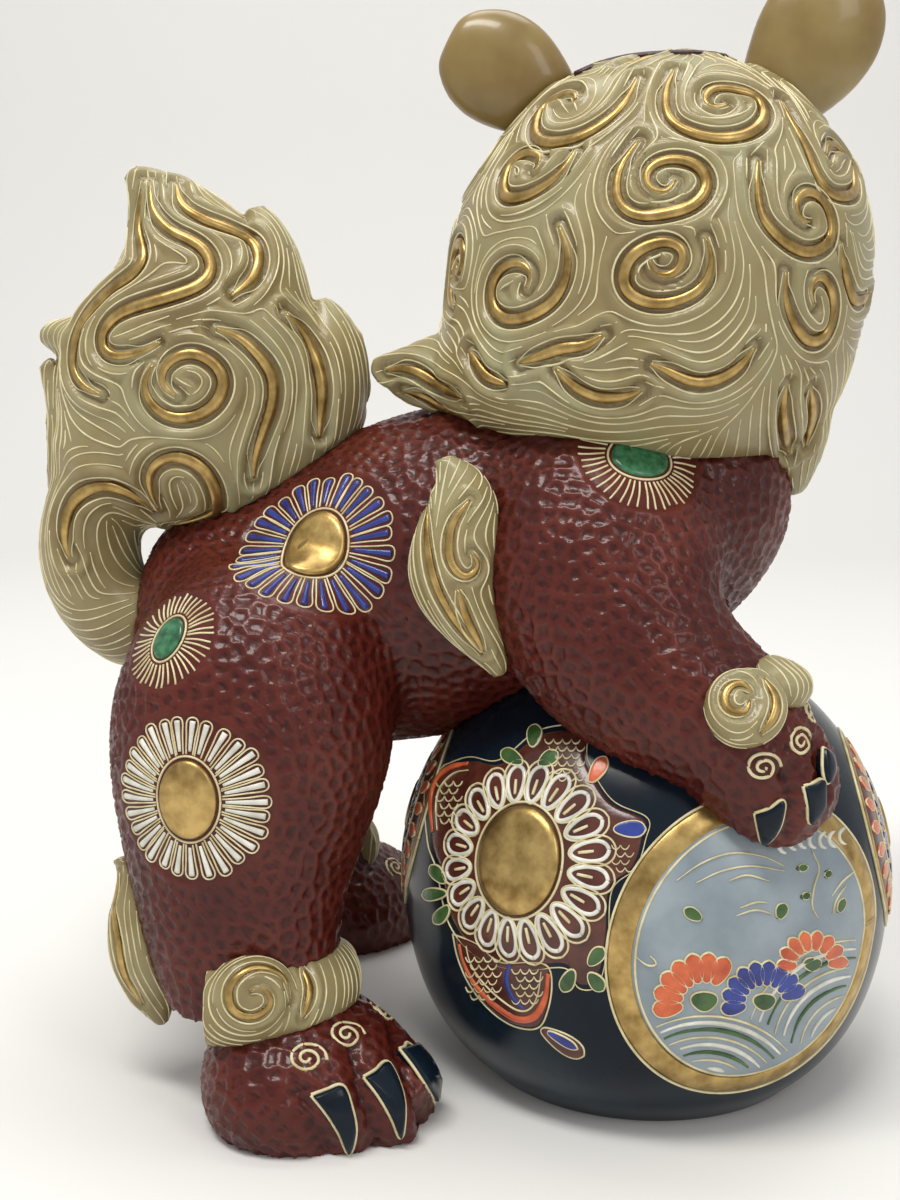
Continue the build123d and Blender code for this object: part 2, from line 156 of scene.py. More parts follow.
def ring_faces(levels, count):
    """Faces between rings of points, one above another, and over both ends."""
    faces = []
    for low in range(0, (levels - 1) * count, count):
        for k in range(count):
            after = (k + 1) % count
            faces.append((low + k, low + after, low + count + after, low + count + k))
    faces.append(tuple((levels - 1) * count + k for k in range(count)))
    faces.append(tuple(reversed(range(count))))
    return faces


def mirror(points, plane_y):
    """Points on the other side of an upright plane that runs along x."""
    return np.asarray(points) * (1, -1, 1) + (0, 2 * plane_y, 0)


def piece(name, points, faces, look, nodes=()):
    """One named piece of the statue from points in mm, with the material of its look; the slot that the look
    also holds is not used.
    """
    material, slot = look
    mesh = bpy.data.meshes.new(name)
    mesh.from_pydata((np.asarray(points) * MM).tolist(), [], [list(map(int, f)) for f in faces])
    mesh.polygons.foreach_set("use_smooth", [True] * len(mesh.polygons))
    mesh.materials.append(material)
    mesh.validate()
    made = bpy.data.objects.new(name, mesh)
    bpy.context.scene.collection.objects.link(made)
    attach(made, "root")
    if nodes:
        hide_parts(*nodes)


# Forms and lines on a surface.

def relaxed(points, quads, rounds):
    """Points drawn towards their neighbours, to take small corners off a form."""
    ends = np.concatenate([quads[:, (0, 1)], quads[:, (1, 2)], quads[:, (2, 3)], quads[:, (3, 0)]])
    count = np.bincount(ends[:, 0], minlength=len(points))[:, None]
    for _ in range(rounds):
        sums = [np.bincount(ends[:, 0], points[ends[:, 1], axis], len(points)) for axis in range(3)]
        points = (points + np.stack(sums, 1) / np.maximum(count, 1)) / 2
    return points


def tree_of(points, faces):
    return BVHTree.FromPolygons(points.tolist(), faces.tolist())


def point_tree(points):
    tree = KDTree(len(points))
    for number, point in enumerate(points):
        tree.insert(point, number)
    tree.balance()
    return tree


def photo_ray(x, y):
    across = (x - PHOTO_WIDTH / 2) / FOCAL_PIXELS
    up = (PHOTO_HEIGHT / 2 - y) / FOCAL_PIXELS
    return (camera_turn @ Vector((across, up, -1))).normalized()


def seen_at(tree, x, y):
    """The surface point under a pixel of the photograph, or None."""
    point, normal, face, far = tree.ray_cast(CAMERA_AT, photo_ray(x, y))
    return point


def rounded(path, step):
    """A Catmull-Rom curve through the points, divided at even steps."""
    nodes = [np.array(p, float) for p in path]
    nodes = [2 * nodes[0] - nodes[1]] + nodes + [2 * nodes[-1] - nodes[-2]]
    dense = []
    for a, b, c, d in zip(nodes, nodes[1:], nodes[2:], nodes[3:]):
        for t in np.linspace(0, 1, 12, endpoint=False):
            dense.append(0.5 * (2 * b + (c - a) * t + (2 * a - 5 * b + 4 * c - d) * t * t
                                + (3 * b - a - 3 * c + d) * t ** 3))
    dense.append(nodes[-2])
    dense = np.array(dense)
    along = np.concatenate([[0], np.cumsum(np.linalg.norm(np.diff(dense, axis=0), axis=1))])
    count = max(int(along[-1] / step), 2)
    at = np.linspace(0, along[-1], count + 1)
    return np.stack([np.interp(at, along, dense[:, k]) for k in range(dense.shape[1])], 1)


def closed(path):
    """A path that comes back to its first point."""
    return [*path, path[0]]


def apart(found):
    """Pairs of a point and a normal as an array of points and an array of normals."""
    return np.array([p[:] for p, n in found]), np.array([n[:] for p, n in found])


def laid(tree, path):
    """A 3-D path moved onto the nearest surface: points and normals."""
    return apart([tree.find_nearest(Vector(p))[:2] for p in path])


def photo_path(tree, pixels, step=HAIR_STEP):
    """A path drawn on the photograph, laid on the surface that it shows."""
    found = [seen_at(tree, x, y) for x, y in rounded(pixels, PIXEL_STEP)]
    found = [p[:] for p in found if p is not None]
    return laid(tree, rounded(found[::2] + [found[-1]], step))


def eased(values, rounds):
    """Values along a path, averaged with their neighbours."""
    values = np.array(values, float)
    for _ in range(rounds):
        values[1:-1] = (values[:-2] + 2 * values[1:-1] + values[2:]) / 4
    return values


def ribbons(name, runs, look, height, sink=FOOT_DEPTH, rounds=2):
    """Raised strokes of glaze. Each run is points, normals and half widths along it."""
    shoulder, shoulder_height, lowest = 0.72, 0.62 * height, 0.35
    profile = np.array([[-1, -sink], [-shoulder, shoulder_height], [0, height],
                        [shoulder, shoulder_height], [1, -sink]])
    rings = len(profile)
    all_points, all_faces, base = [], [], 0
    for points, normals, half in runs:
        count = len(points)
        points, normals = eased(points, rounds), unit(eased(normals, rounds * 4))
        side = unit(np.cross(np.gradient(points, axis=0), normals))
        half = np.broadcast_to(np.asarray(half, float), (count,))
        lift = np.clip(half / half.max(), lowest, 1)
        ring = (points[:, None, :]
                + side[:, None, :] * (profile[None, :, 0] * half[:, None])[..., None]
                + normals[:, None, :] * (profile[None, :, 1] * lift[:, None])[..., None])
        all_points.append(ring.reshape(-1, 3))
        for first, *others in ring_faces(count, rings):
            all_faces.append(tuple(base + k for k in (first, *reversed(others))))
        base += count * rings
    piece(name, np.concatenate(all_points), all_faces, look)


class Claimed:
    """A grid that tells whether an earlier stroke is near a point."""

    def __init__(self, cell):
        self.cell = cell
        self.held = {}

    def add(self, point, run):
        key = tuple(int(math.floor(c / self.cell)) for c in point)
        self.held.setdefault(key, []).append((point[0], point[1], point[2], run))

    def near(self, point, reach, run=None):
        x, y, z = point
        i, j, k = (int(math.floor(c / self.cell)) for c in point)
        limit = reach * reach
        for a in (i - 1, i, i + 1):
            for b in (j - 1, j, j + 1):
                for c in (k - 1, k, k + 1):
                    for px, py, pz, owner in self.held.get((a, b, c), ()):
                        if owner != run and (px - x) ** 2 + (py - y) ** 2 + (pz - z) ** 2 < limit:
                            return True
        return False


def flow_on_faces(points, faces, guides, base_flow):
    """The direction of the hair on each face, from the guide strokes round it."""
    base_weight = 0.02
    reach = 5.0
    at_once = 4000
    centre = points[faces].mean(1)
    normal = unit(face_normals(points, faces))
    start = base_flow(centre)
    first = unit(start - (start * normal).sum(1, keepdims=True) * normal)
    if not guides:
        return first
    second = np.cross(normal, first)
    places = np.concatenate([g[0][::2] for g in guides])
    ways = unit(np.concatenate([np.gradient(g[0], axis=0)[::2] for g in guides]))
    xx = np.full(len(centre), base_weight)
    yy = np.zeros(len(centre))
    xy = np.zeros(len(centre))
    for i in range(0, len(centre), at_once):
        part = slice(i, i + at_once)
        gap = ((centre[part, None, :] - places[None]) ** 2).sum(2)
        weight = (reach * reach / (gap + reach)) ** 2
        along = first[part] @ ways.T
        across = second[part] @ ways.T
        xx[part] += (weight * along * along).sum(1)
        yy[part] += (weight * across * across).sum(1)
        xy[part] += (weight * along * across).sum(1)
    angle = 0.5 * np.arctan2(2 * xy, xx - yy)
    return first * np.cos(angle)[:, None] + second * np.sin(angle)[:, None]


# Fine strokes of hair: lengths and step in mm, how near one may come to another as a share of their
# spacing, the cosine of the sharpest turn, and a first number that no gilt band has.
STROKE_SHORTEST = 7
STROKE_LONGEST = 90
STROKE_STEP = 1.3
STROKE_ROOM = 0.72
SHARPEST_TURN = 0.2
FIRST_OWN_RUN = 1000000


def follow(tree, flow, start, way, claimed, spacing, open_face, run):
    """One stroke grown from a start along the flow until it meets another."""
    path = []
    here, heading = Vector(start), way
    length = 0.0
    while length < STROKE_LONGEST:
        point, normal, face, far = tree.find_nearest(here)
        if not open_face[face] or claimed.near(point, spacing, run):
            break
        turn = flow[face]
        if turn.dot(heading) < 0:
            turn = -turn
        if path and turn.dot(heading) < SHARPEST_TURN:
            break
        path.append((point[:], normal[:]))
        heading = turn
        here = point + turn * STROKE_STEP
        length += STROKE_STEP
    return path


def strokes_over(points, faces, tree, flow, open_face, claimed, spacing):
    """Fine strokes that cover the open faces at an even spacing."""
    rng = random.Random(SEED)
    flow = [Vector(f) for f in flow.tolist()]
    centre = points[faces].mean(1)
    order = np.nonzero(open_face)[0].tolist()
    rng.shuffle(order)
    runs = []
    for face in order:
        start = centre[face]
        if claimed.near(start, spacing):
            continue
        run = len(runs) + FIRST_OWN_RUN
        ahead, behind = (follow(tree, flow, start, way, claimed, spacing * STROKE_ROOM, open_face, run)
                         for way in (flow[face], -flow[face]))
        path = behind[::-1] + ahead[1:]
        if len(path) * STROKE_STEP < STROKE_SHORTEST:
            continue
        for point, normal in path:
            claimed.add(point, run)
        runs.append(apart(path))
    return runs


def tapered(count, half, tip=0.35):
    """Half widths that swell from the ends to the middle."""
    return half * np.maximum(np.sqrt(np.sin(math.pi * np.linspace(0, 1, count))), tip)


def on_surface(tree, spot, normal):
    """The surface point and normal below a spot, looking against a normal."""
    reach = 15
    point, found, face, far = tree.ray_cast(Vector(spot) + Vector(normal) * reach, -Vector(normal), 2 * reach)
    if point is None:
        point, found, face, far = tree.find_nearest(Vector(spot))
    return point, found


class Plate:
    """A flat coordinate frame that touches a surface under a pixel of the photograph."""

    def __init__(self, tree, x, y, around=6):
        self.tree = tree
        self.centre = seen_at(tree, x, y)
        turns = [seen_at(tree, x + around * math.cos(a), y + around * math.sin(a))
                 for a in np.linspace(0, 5.5, 8)]
        turns = [t for t in turns if t is not None]
        total = Vector((0, 0, 0))
        for first, second in zip(turns, turns[1:]):
            total -= (first - self.centre).cross(second - self.centre)
        self.normal = total.normalized()
        if self.normal.dot(photo_ray(x, y)) > 0:
            self.normal = -self.normal
        self.across = Vector((0, 0, 1)).cross(self.normal).normalized()
        self.up = self.normal.cross(self.across)

    def at(self, u, v):
        spot = self.centre + float(u) * self.across + float(v) * self.up
        return on_surface(self.tree, spot, self.normal)

    def path(self, pairs):
        return apart([self.at(u, v) for u, v in rounded(pairs, FINE_STEP)])


# The rings of a cushion, as shares of its outline, and how deep its edge is sunk.
LEVELS = (1.0, 0.93, 0.8, 0.6, 0.35, 0.08)
EDGE_DEPTH = 0.4


def domed(rings_of_points, rings_of_normals, height, sink=EDGE_DEPTH):
    """A closed cushion from an outline (first ring) to a middle point (last ring)."""
    levels = len(rings_of_points)
    points = []
    for level, (ring, normals) in enumerate(zip(rings_of_points, rings_of_normals)):
        inward = level / (levels - 1)
        lift = -sink if level == 0 else height * math.sqrt(1 - (1 - inward) ** 3)
        points.extend((np.array(ring) + np.array(normals) * lift).tolist())
    return np.array(points), ring_faces(levels, len(rings_of_points[0]))


def photo_patch(tree, outline, height, step=PIXEL_STEP, sink=EDGE_DEPTH):
    """A cushion with a closed outline drawn on the photograph, round its middle."""
    loop = rounded(closed(outline), step)[:-1]
    middle = loop.mean(0)
    rings = []
    for share in LEVELS:
        found = [tree.ray_cast(CAMERA_AT, photo_ray(*middle))[:2]]
        for x, y in middle + (loop - middle) * share:
            hit = tree.ray_cast(CAMERA_AT, photo_ray(x, y))[:2]
            found.append(found[-1] if hit[0] is None else hit)
        rings.append(apart(found[1:]))
    return domed(*zip(*rings), height, sink)


def plate_patch(plate, outline, height):
    """A cushion with a closed outline drawn on a plate, round the plate's centre."""
    rings = [apart([plate.at(u * share, v * share) for u, v in outline]) for share in LEVELS]
    return domed(*zip(*rings), height)


def side_ways(way):
    """Two directions square to one direction and to each other."""
    way = unit(np.array(way, float))
    first = unit(np.cross((0, 0, 1), way))
    return way, first, np.cross(way, first)


def sphere_circle(centre, radius, way, angle, count=64):
    """Points and normals of a circle round a direction on a sphere."""
    way, first, second = side_ways(way)
    turns = np.linspace(0, 2 * math.pi, count, endpoint=False)[:, None]
    normals = math.cos(angle) * way + math.sin(angle) * (np.cos(turns) * first + np.sin(turns) * second)
    return np.array(centre) + radius * normals, normals


def cap(centre, radius, way, angle, height):
    """A raised round cushion on a sphere."""
    rings = [sphere_circle(centre, radius, way, angle * share) for share in LEVELS]
    return domed(*zip(*rings), height)


def turned(along, side, angle):
    """The place that far along and beside a ray at an angle."""
    return along * math.cos(angle) - side * math.sin(angle), along * math.sin(angle) + side * math.cos(angle)


def turned_about(points, axis_at, angle):
    """Points turned about a vertical axis."""
    points = np.asarray(points, float)
    x, y = turned(points[:, 0] - axis_at[0], points[:, 1] - axis_at[1], angle)
    return np.stack([axis_at[0] + x, axis_at[1] + y, points[:, 2]], 1)


def joined(name, forms, look, nodes=()):
    """Several closed forms as one piece."""
    all_faces, base = [], 0
    for points, faces in forms:
        all_faces.extend(tuple(base + k for k in f) for f in faces)
        base += len(points)
    piece(name, np.concatenate([points for points, faces in forms]), all_faces, look, nodes)


def mirrored(runs, plane_y, tree):
    """The same strokes on the other side of a plane, laid on the surface there."""
    return [(*laid(tree, mirror(points, plane_y)), half) for points, normals, half in runs]


def mirrored_forms(forms, plane_y):
    """The same closed forms on the other side of a plane."""
    return [(mirror(points, plane_y), [tuple(reversed(f)) for f in faces]) for points, faces in forms]


# Materials.

def new_material(name):
    material = bpy.data.materials.new(name)
    material.use_nodes = True
    nodes, links = material.node_tree.nodes, material.node_tree.links
    return material, nodes, links, nodes["Principled BSDF"]


def noise(nodes, links, scale, detail=4):
    texture = nodes.new("ShaderNodeTexNoise")
    texture.inputs["Scale"].default_value = scale
    texture.inputs["Detail"].default_value = detail
    texture.inputs["Roughness"].default_value = 0.55
    links.new(nodes.new("ShaderNodeTexCoord").outputs["Object"], texture.inputs["Vector"])
    return texture.outputs["Fac"]


def ramp(nodes, links, source, stops):
    made = nodes.new("ShaderNodeValToRGB")
    elements = made.color_ramp.elements
    while len(elements) < len(stops):
        elements.new(0.5)
    for element, (place, colour) in zip(elements, stops):
        element.position = place
        element.color = (*colour, 1)
    links.new(source, made.inputs["Fac"])
    return made.outputs["Color"]


def hollow_patina_and_shade(nodes, links, base, hollow, low, high):
    """A base colour that turns to another one in the hollows of the surface: painted shade on the red glaze,
    the brown patina of the grooves on the khaki glaze.
    """
    bend = nodes.new("ShaderNodeNewGeometry").outputs["Pointiness"]
    depth = ramp(nodes, links, bend, [(low, (1, 1, 1)), (high, (0, 0, 0))])
    made = nodes.new("ShaderNodeMix")
    made.data_type = "RGBA"
    links.new(depth, made.inputs["Factor"])
    links.new(base, made.inputs["A"])
    made.inputs["B"].default_value = (*hollow, 1)
    return made.outputs["Result"]


SOCKETS = {
    "roughness": "Roughness", "metallic": "Metallic", "specular": "Specular IOR Level",
    "coat": "Coat Weight", "coat_roughness": "Coat Roughness",
}


def glaze(name, slot, scale, tones, bump, hollow=None, **values):
    """A glaze with uneven tones, fine bumps and, where it has them, darker hollows, and its slot.

    Bump is the scale, detail, strength and distance of the unevenness; hollow is the colour in
    the hollows and the limits where it starts and ends; values are the shader's own.
    """
    material, nodes, links, shader = new_material(name)
    base = ramp(nodes, links, noise(nodes, links, scale), tones)
    if hollow:
        base = hollow_patina_and_shade(nodes, links, base, *hollow)
    links.new(base, shader.inputs["Base Color"])
    for socket, value in values.items():
        shader.inputs[SOCKETS[socket]].default_value = value
    bump_scale, detail, strength, distance = bump
    made = nodes.new("ShaderNodeBump")
    made.inputs["Strength"].default_value = strength
    made.inputs["Distance"].default_value = distance
    links.new(noise(nodes, links, bump_scale, detail), made.inputs["Height"])
    links.new(made.outputs["Normal"], shader.inputs["Normal"])
    return material, slot


def enamel(name, slot, dark, light, roughness=0.22, metallic=0.0, scale=120):
    """A plain coloured enamel or gilding, a little uneven."""
    return glaze(name, slot, scale, [(0.32, dark), (0.66, light)], (420, 2, 0.2, 0.0003),
                 roughness=roughness, metallic=metallic)


GOLD = enamel("gilding", "gold_enamel", (0.25, 0.155, 0.045), (0.56, 0.39, 0.145), 0.33, 0.85, 150)
BLUE = enamel("blue_enamel", "navy_glaze", (0.012, 0.018, 0.13), (0.03, 0.055, 0.30))
WHITE = enamel("white_enamel", "ivory_enamel", (0.50, 0.50, 0.42), (0.80, 0.80, 0.72))
GREEN = enamel("green_enamel", "navy_glaze", (0.012, 0.07, 0.03), (0.05, 0.20, 0.09), 0.2, 0.0, 400)
LEAF = enamel("leaf_enamel", "navy_glaze", (0.02, 0.06, 0.015), (0.07, 0.15, 0.04))
ORANGE = enamel("orange_enamel", "vermilion_enamel", (0.42, 0.06, 0.02), (0.70, 0.15, 0.05))
SKY = enamel("pale_blue_enamel", "navy_glaze", (0.19, 0.24, 0.275), (0.30, 0.355, 0.39), 0.25, 0.0, 40)
GROUND = enamel("dark_red_enamel", "oxblood_glaze", (0.05, 0.012, 0.008), (0.11, 0.03, 0.018))
VERMILION = enamel("vermilion_enamel", "vermilion_enamel", (0.30, 0.03, 0.02), (0.50, 0.06, 0.03))
# The darker hollows of the red glaze are painted shade, which sets off its raised net of cells.
RED = glaze("oxblood_glaze", "oxblood_glaze", 45,
            [(0.3, (0.062, 0.009, 0.006)), (0.5, (0.092, 0.014, 0.009)), (0.72, (0.125, 0.023, 0.014))],
            (420, 3, 0.35, 0.0005), ((0.030, 0.005, 0.004), 0.455, 0.51),
            roughness=0.3, specular=0.22, coat=0.16, coat_roughness=0.05)
KHAKI = glaze("khaki_glaze", "khaki_glaze", 28,
              [(0.3, (0.20, 0.145, 0.058)), (0.5, (0.280, 0.228, 0.105)), (0.7, (0.300, 0.278, 0.150))],
              (260, 3, 0.2, 0.0004), ((0.165, 0.105, 0.038), 0.42, 0.49),
              roughness=0.34, specular=0.35, coat=0.2, coat_roughness=0.12)
HONEY = glaze("honey_glaze", "honey_glaze", 22,
              [(0.3, (0.17, 0.105, 0.030)), (0.5, (0.25, 0.175, 0.058)), (0.72, (0.32, 0.255, 0.110))],
              (130, 3, 0.12, 0.0004),
              roughness=0.3, specular=0.35, coat=0.25, coat_roughness=0.08)
NAVY = glaze("navy_glaze", "navy_glaze", 30,
             [(0.3, (0.003, 0.006, 0.012)), (0.55, (0.006, 0.013, 0.022)), (0.75, (0.012, 0.024, 0.032))],
             (140, 2, 0.12, 0.0004),
             roughness=0.2, specular=0.18, coat=0.04, coat_roughness=0.06)
CREAM = glaze("cream_slip", "ivory_enamel", 160, [(0.3, (0.52, 0.44, 0.22)), (0.6, (0.74, 0.67, 0.42))],
              (700, 2, 0.2, 0.0002), roughness=0.35)


# Red skin.

SKIN_NODES = ("torso", "haunch_right", "haunch_left", "hind_paw_right", "hind_paw_left",
              "foreleg_right", "foreleg_left", "fore_paw_right", "fore_paw_left")
CELL = 5.2
CELL_EDGE = 0.85


def cell_net(points, spacing, seed):
    """Distance from the net of cell borders at each point."""
    rng = random.Random(seed)
    order = list(range(len(points)))
    rng.shuffle(order)
    taken = Claimed(spacing)
    seeds = []
    listed = points.tolist()
    for i in order:
        if not taken.near(listed[i], spacing * rng.uniform(0.7, 1.05)):
            taken.add(listed[i], 0)
            seeds.append(i)
    tree = point_tree([listed[i] for i in seeds])
    border = np.empty(len(points))
    for i, p in enumerate(listed):
        (first, one, near), (second, two, far) = tree.find_n(p, 2)
        border[i] = (far * far - near * near) / (2 * (first - second).length)
    return border


# Painted flowers on the skin: pixel of the middle, radius, eye across and up, petals, kind.
FLOWERS = (
    ((316, 547), 28, (10.5, 13), 27, "blue"),
    ((187, 800), 27, (10, 13), 29, "white"),
    ((168, 638), 17, (5.5, 7.5), 40, "rays"),
    ((641, 457), 20, (10, 8), 42, "rays"),
)
NECK_FLOWER = (641, 457)
HIND_TOE_GROOVES = (
    ((352, 1050), (362, 1090), (372, 1120), (376, 1150)),
    ((392, 1025), (404, 1065), (418, 1100), (424, 1140)),
    ((300, 1090), (310, 1120), (325, 1150)),
)
FORE_TOE_GROOVES = (
    ((786, 775), (789, 800), (786, 835)),
    ((818, 745), (822, 765), (826, 790)),
)
HIND_CLAWS = (
    ((311, 1095), (327, 1089), (343, 1085), (352, 1108), (356, 1132), (349, 1154), (338, 1132), (325, 1112)),
    ((363, 1077), (375, 1070), (387, 1061), (400, 1085), (405, 1110), (401, 1139), (391, 1118), (378, 1096)),
    ((399, 1049), (410, 1045), (420, 1041), (436, 1065), (445, 1090), (443, 1119), (431, 1095), (415, 1070)),
)
FORE_CLAWS = (
    ((755, 813), (770, 808), (784, 799), (782, 820), (774, 836), (763, 843), (758, 828)),
    ((803, 786), (813, 783), (822, 779), (824, 795), (822, 810), (809, 824), (807, 806)),
    ((822, 748), (828, 752), (832, 762), (832, 775), (826, 784), (822, 770)),
)
CLAW_HEIGHT = 2.0
CLAW_DEPTH = 3.0
CLAW_EDGE_HALF = 0.65
# Spirals on the paws: middles, turn in radians, share of it that is drawn, squash and half width.
HIND_SPIRALS = ((307, 1058), (347, 1034), (383, 1011))
FORE_SPIRALS = ((764, 768), (803, 742), (809, 712))
SPIRAL_TURN = 15
SPIRAL_END = 0.85
SPIRAL_SQUASH = 0.85
SPIRAL_HALF = 0.6
CELL_RIM = 0.65
CELL_FLOOR = 0.2
# Toe grooves are cut only where the paws are.
PAWS_BELOW_Z = 60
PAWS_BEYOND_X = 70
TOE_GROOVE_DEPTH = 2.6
TOE_GROOVE_HALF = 3.2
FLOWER_FADE = 3
FLOWER_RIM = 0.5
FLOWER_RIM_HALF = 1.2


points, quads = skin(SKIN_NODES, SKIN_VOXEL, SKIN_BLEND, SKIN_GROW)
normals = vertex_normals(points, quads)
border = cell_net(points, CELL, SEED)
smooth_tree = tree_of(points, quads)
relief = CELL_EDGE * np.exp(-(border / CELL_RIM) ** 2) - CELL_FLOOR
for spot, radius, eye, petals, kind in FLOWERS:
    middle = np.array(seen_at(smooth_tree, *spot)[:])
    for centre in (middle, mirror(middle, HIND_MIRROR_Y)):
        gap = np.linalg.norm(points - centre, axis=1)
        relief *= np.clip((gap - radius) / FLOWER_FADE, 0, 1)
        relief += FLOWER_RIM * np.exp(-((gap - radius - 1) / FLOWER_RIM_HALF) ** 2)
groove_points = []
for toe_grooves, plane in ((HIND_TOE_GROOVES, HIND_MIRROR_Y), (FORE_TOE_GROOVES, FORE_MIRROR_Y)):
    for groove in toe_grooves:
        path, ways = photo_path(smooth_tree, groove, FINE_STEP)
        groove_points += [*path, *mirror(path, plane)]
groove_tree = point_tree(groove_points)
for i in np.nonzero((points[:, 2] < PAWS_BELOW_Z) | (points[:, 0] > PAWS_BEYOND_X))[0].tolist():
    gap = groove_tree.find(points[i])[2]
    relief[i] -= TOE_GROOVE_DEPTH * math.exp(-(gap / TOE_GROOVE_HALF) ** 2)
points = points + normals * relief[:, None]
points[:, 2] = np.maximum(points[:, 2], 0)
piece("body_skin", points, quads, RED, SKIN_NODES)
skin_tree = tree_of(points, quads)


def oval_outline(half_across, half_up):
    return [(half_across * math.cos(a), half_up * math.sin(a))
            for a in np.linspace(0, 2 * math.pi, 40, endpoint=False)]


# A painted flower: its rim and its gap round the eye, the rounded end of a petal, the half width of
# a petal as a share of its room, the half widths of the coloured strokes and the heights of the eyes.
EYE_RIM = 0.8
EYE_GAP = 1.4
PETAL_END = 1.2
PETAL_SHARE = 0.36
PETAL_HALF = {"blue": 1.3, "white": 1.15}
EYE_HIGH = {"blue": 1.6, "white": 1.6, "rays": 0.8}


def flower_on(plate, radius, eye, petals, kind):
    """The strokes and petals of one painted flower."""
    strokes = [(*plate.path(closed(oval_outline(eye[0] + EYE_RIM, eye[1] + EYE_RIM))), 0.42)]
    petal_forms = []
    across, up = eye[0] + EYE_GAP, eye[1] + EYE_GAP
    rng = random.Random(petals)
    for k in range(petals):
        angle = 2 * math.pi * (k + rng.uniform(-0.12, 0.12)) / petals
        inner = across * up / math.hypot(up * math.cos(angle), across * math.sin(angle))
        outer = radius * rng.uniform(0.93, 1.0)
        between = (inner + outer) / 2
        if kind == "rays":
            ray = [turned(*spot, angle) for spot in ((inner + 0.4, 0), (between, 0.3), (outer, 0))]
            strokes.append((*plate.path(ray), FINE_HALF))
            continue
        wide_in, wide_out = (PETAL_SHARE * 2 * math.pi * reach / petals for reach in (inner, outer))
        side = [(inner, wide_in), (between, (wide_in + wide_out) / 2), (outer - PETAL_END, wide_out)]
        loop = [(u, -v) for u, v in side] + [(outer, 0)] + side[::-1]
        strokes.append((*plate.path([turned(*spot, angle) for spot in loop]), 0.3))
        line = plate.path([turned(u, 0, angle) for u in (inner + 1.0, between, outer - PETAL_END)])
        petal_forms.append((*line, np.linspace(0.5, 1, len(line[0])) * PETAL_HALF[kind]))
    return strokes, petal_forms


cream_strokes = []
petal_strokes = {"blue": [], "white": [], "rays": []}
eyes = {"blue": [], "white": [], "rays": []}
for spot, radius, eye, petals, kind in FLOWERS:
    plate = Plate(skin_tree, *spot)
    strokes, petal_forms = flower_on(plate, radius, eye, petals, kind)
    eye_form = plate_patch(plate, oval_outline(*eye), EYE_HIGH[kind])
    cream_strokes += strokes
    petal_strokes[kind] += petal_forms
    eyes[kind].append(eye_form)
    if spot != NECK_FLOWER:
        cream_strokes += mirrored(strokes, HIND_MIRROR_Y, skin_tree)
        petal_strokes[kind] += mirrored(petal_forms, HIND_MIRROR_Y, skin_tree)
        eyes[kind] += mirrored_forms([eye_form], HIND_MIRROR_Y)
for spirals, plane, size in ((HIND_SPIRALS, HIND_MIRROR_Y, 6.2), (FORE_SPIRALS, FORE_MIRROR_Y, 5.6)):
    for spot in spirals:
        plate = Plate(skin_tree, *spot, around=3)
        spiral = []
        for t in np.linspace(0, SPIRAL_END, 40):
            across, up = turned(size * (1 - t), 0, SPIRAL_TURN * t)
            spiral.append((across, SPIRAL_SQUASH * up))
        run = (*plate.path(spiral), SPIRAL_HALF)
        cream_strokes += [run] + mirrored([run], plane, skin_tree)
for name, outlines, plane in (("hind_claws", HIND_CLAWS, HIND_MIRROR_Y),
                              ("fore_claws", FORE_CLAWS, FORE_MIRROR_Y)):
    claws = [photo_patch(smooth_tree, outline, CLAW_HEIGHT, 2, CLAW_DEPTH) for outline in outlines]
    joined(name + "_right_enamel", claws, NAVY, (name + "_right",))
    joined(name + "_left_enamel", mirrored_forms(claws, plane), NAVY, (name + "_left",))
    for outline in outlines:
        path, ways = photo_path(smooth_tree, closed(outline), FINE_STEP)
        run = (path + 0.3 * ways, ways, CLAW_EDGE_HALF)
        cream_strokes += [run] + mirrored([run], plane, skin_tree)
ribbons("skin_strokes", cream_strokes, CREAM, FINE_HEIGHT)
ribbons("blue_petals", petal_strokes["blue"], BLUE, 0.6)
ribbons("white_petals", petal_strokes["white"], WHITE, 0.7)
joined("flower_eyes_gold", eyes["blue"] + eyes["white"], GOLD)
joined("flower_eyes_green", eyes["rays"], GREEN)


# Hair.

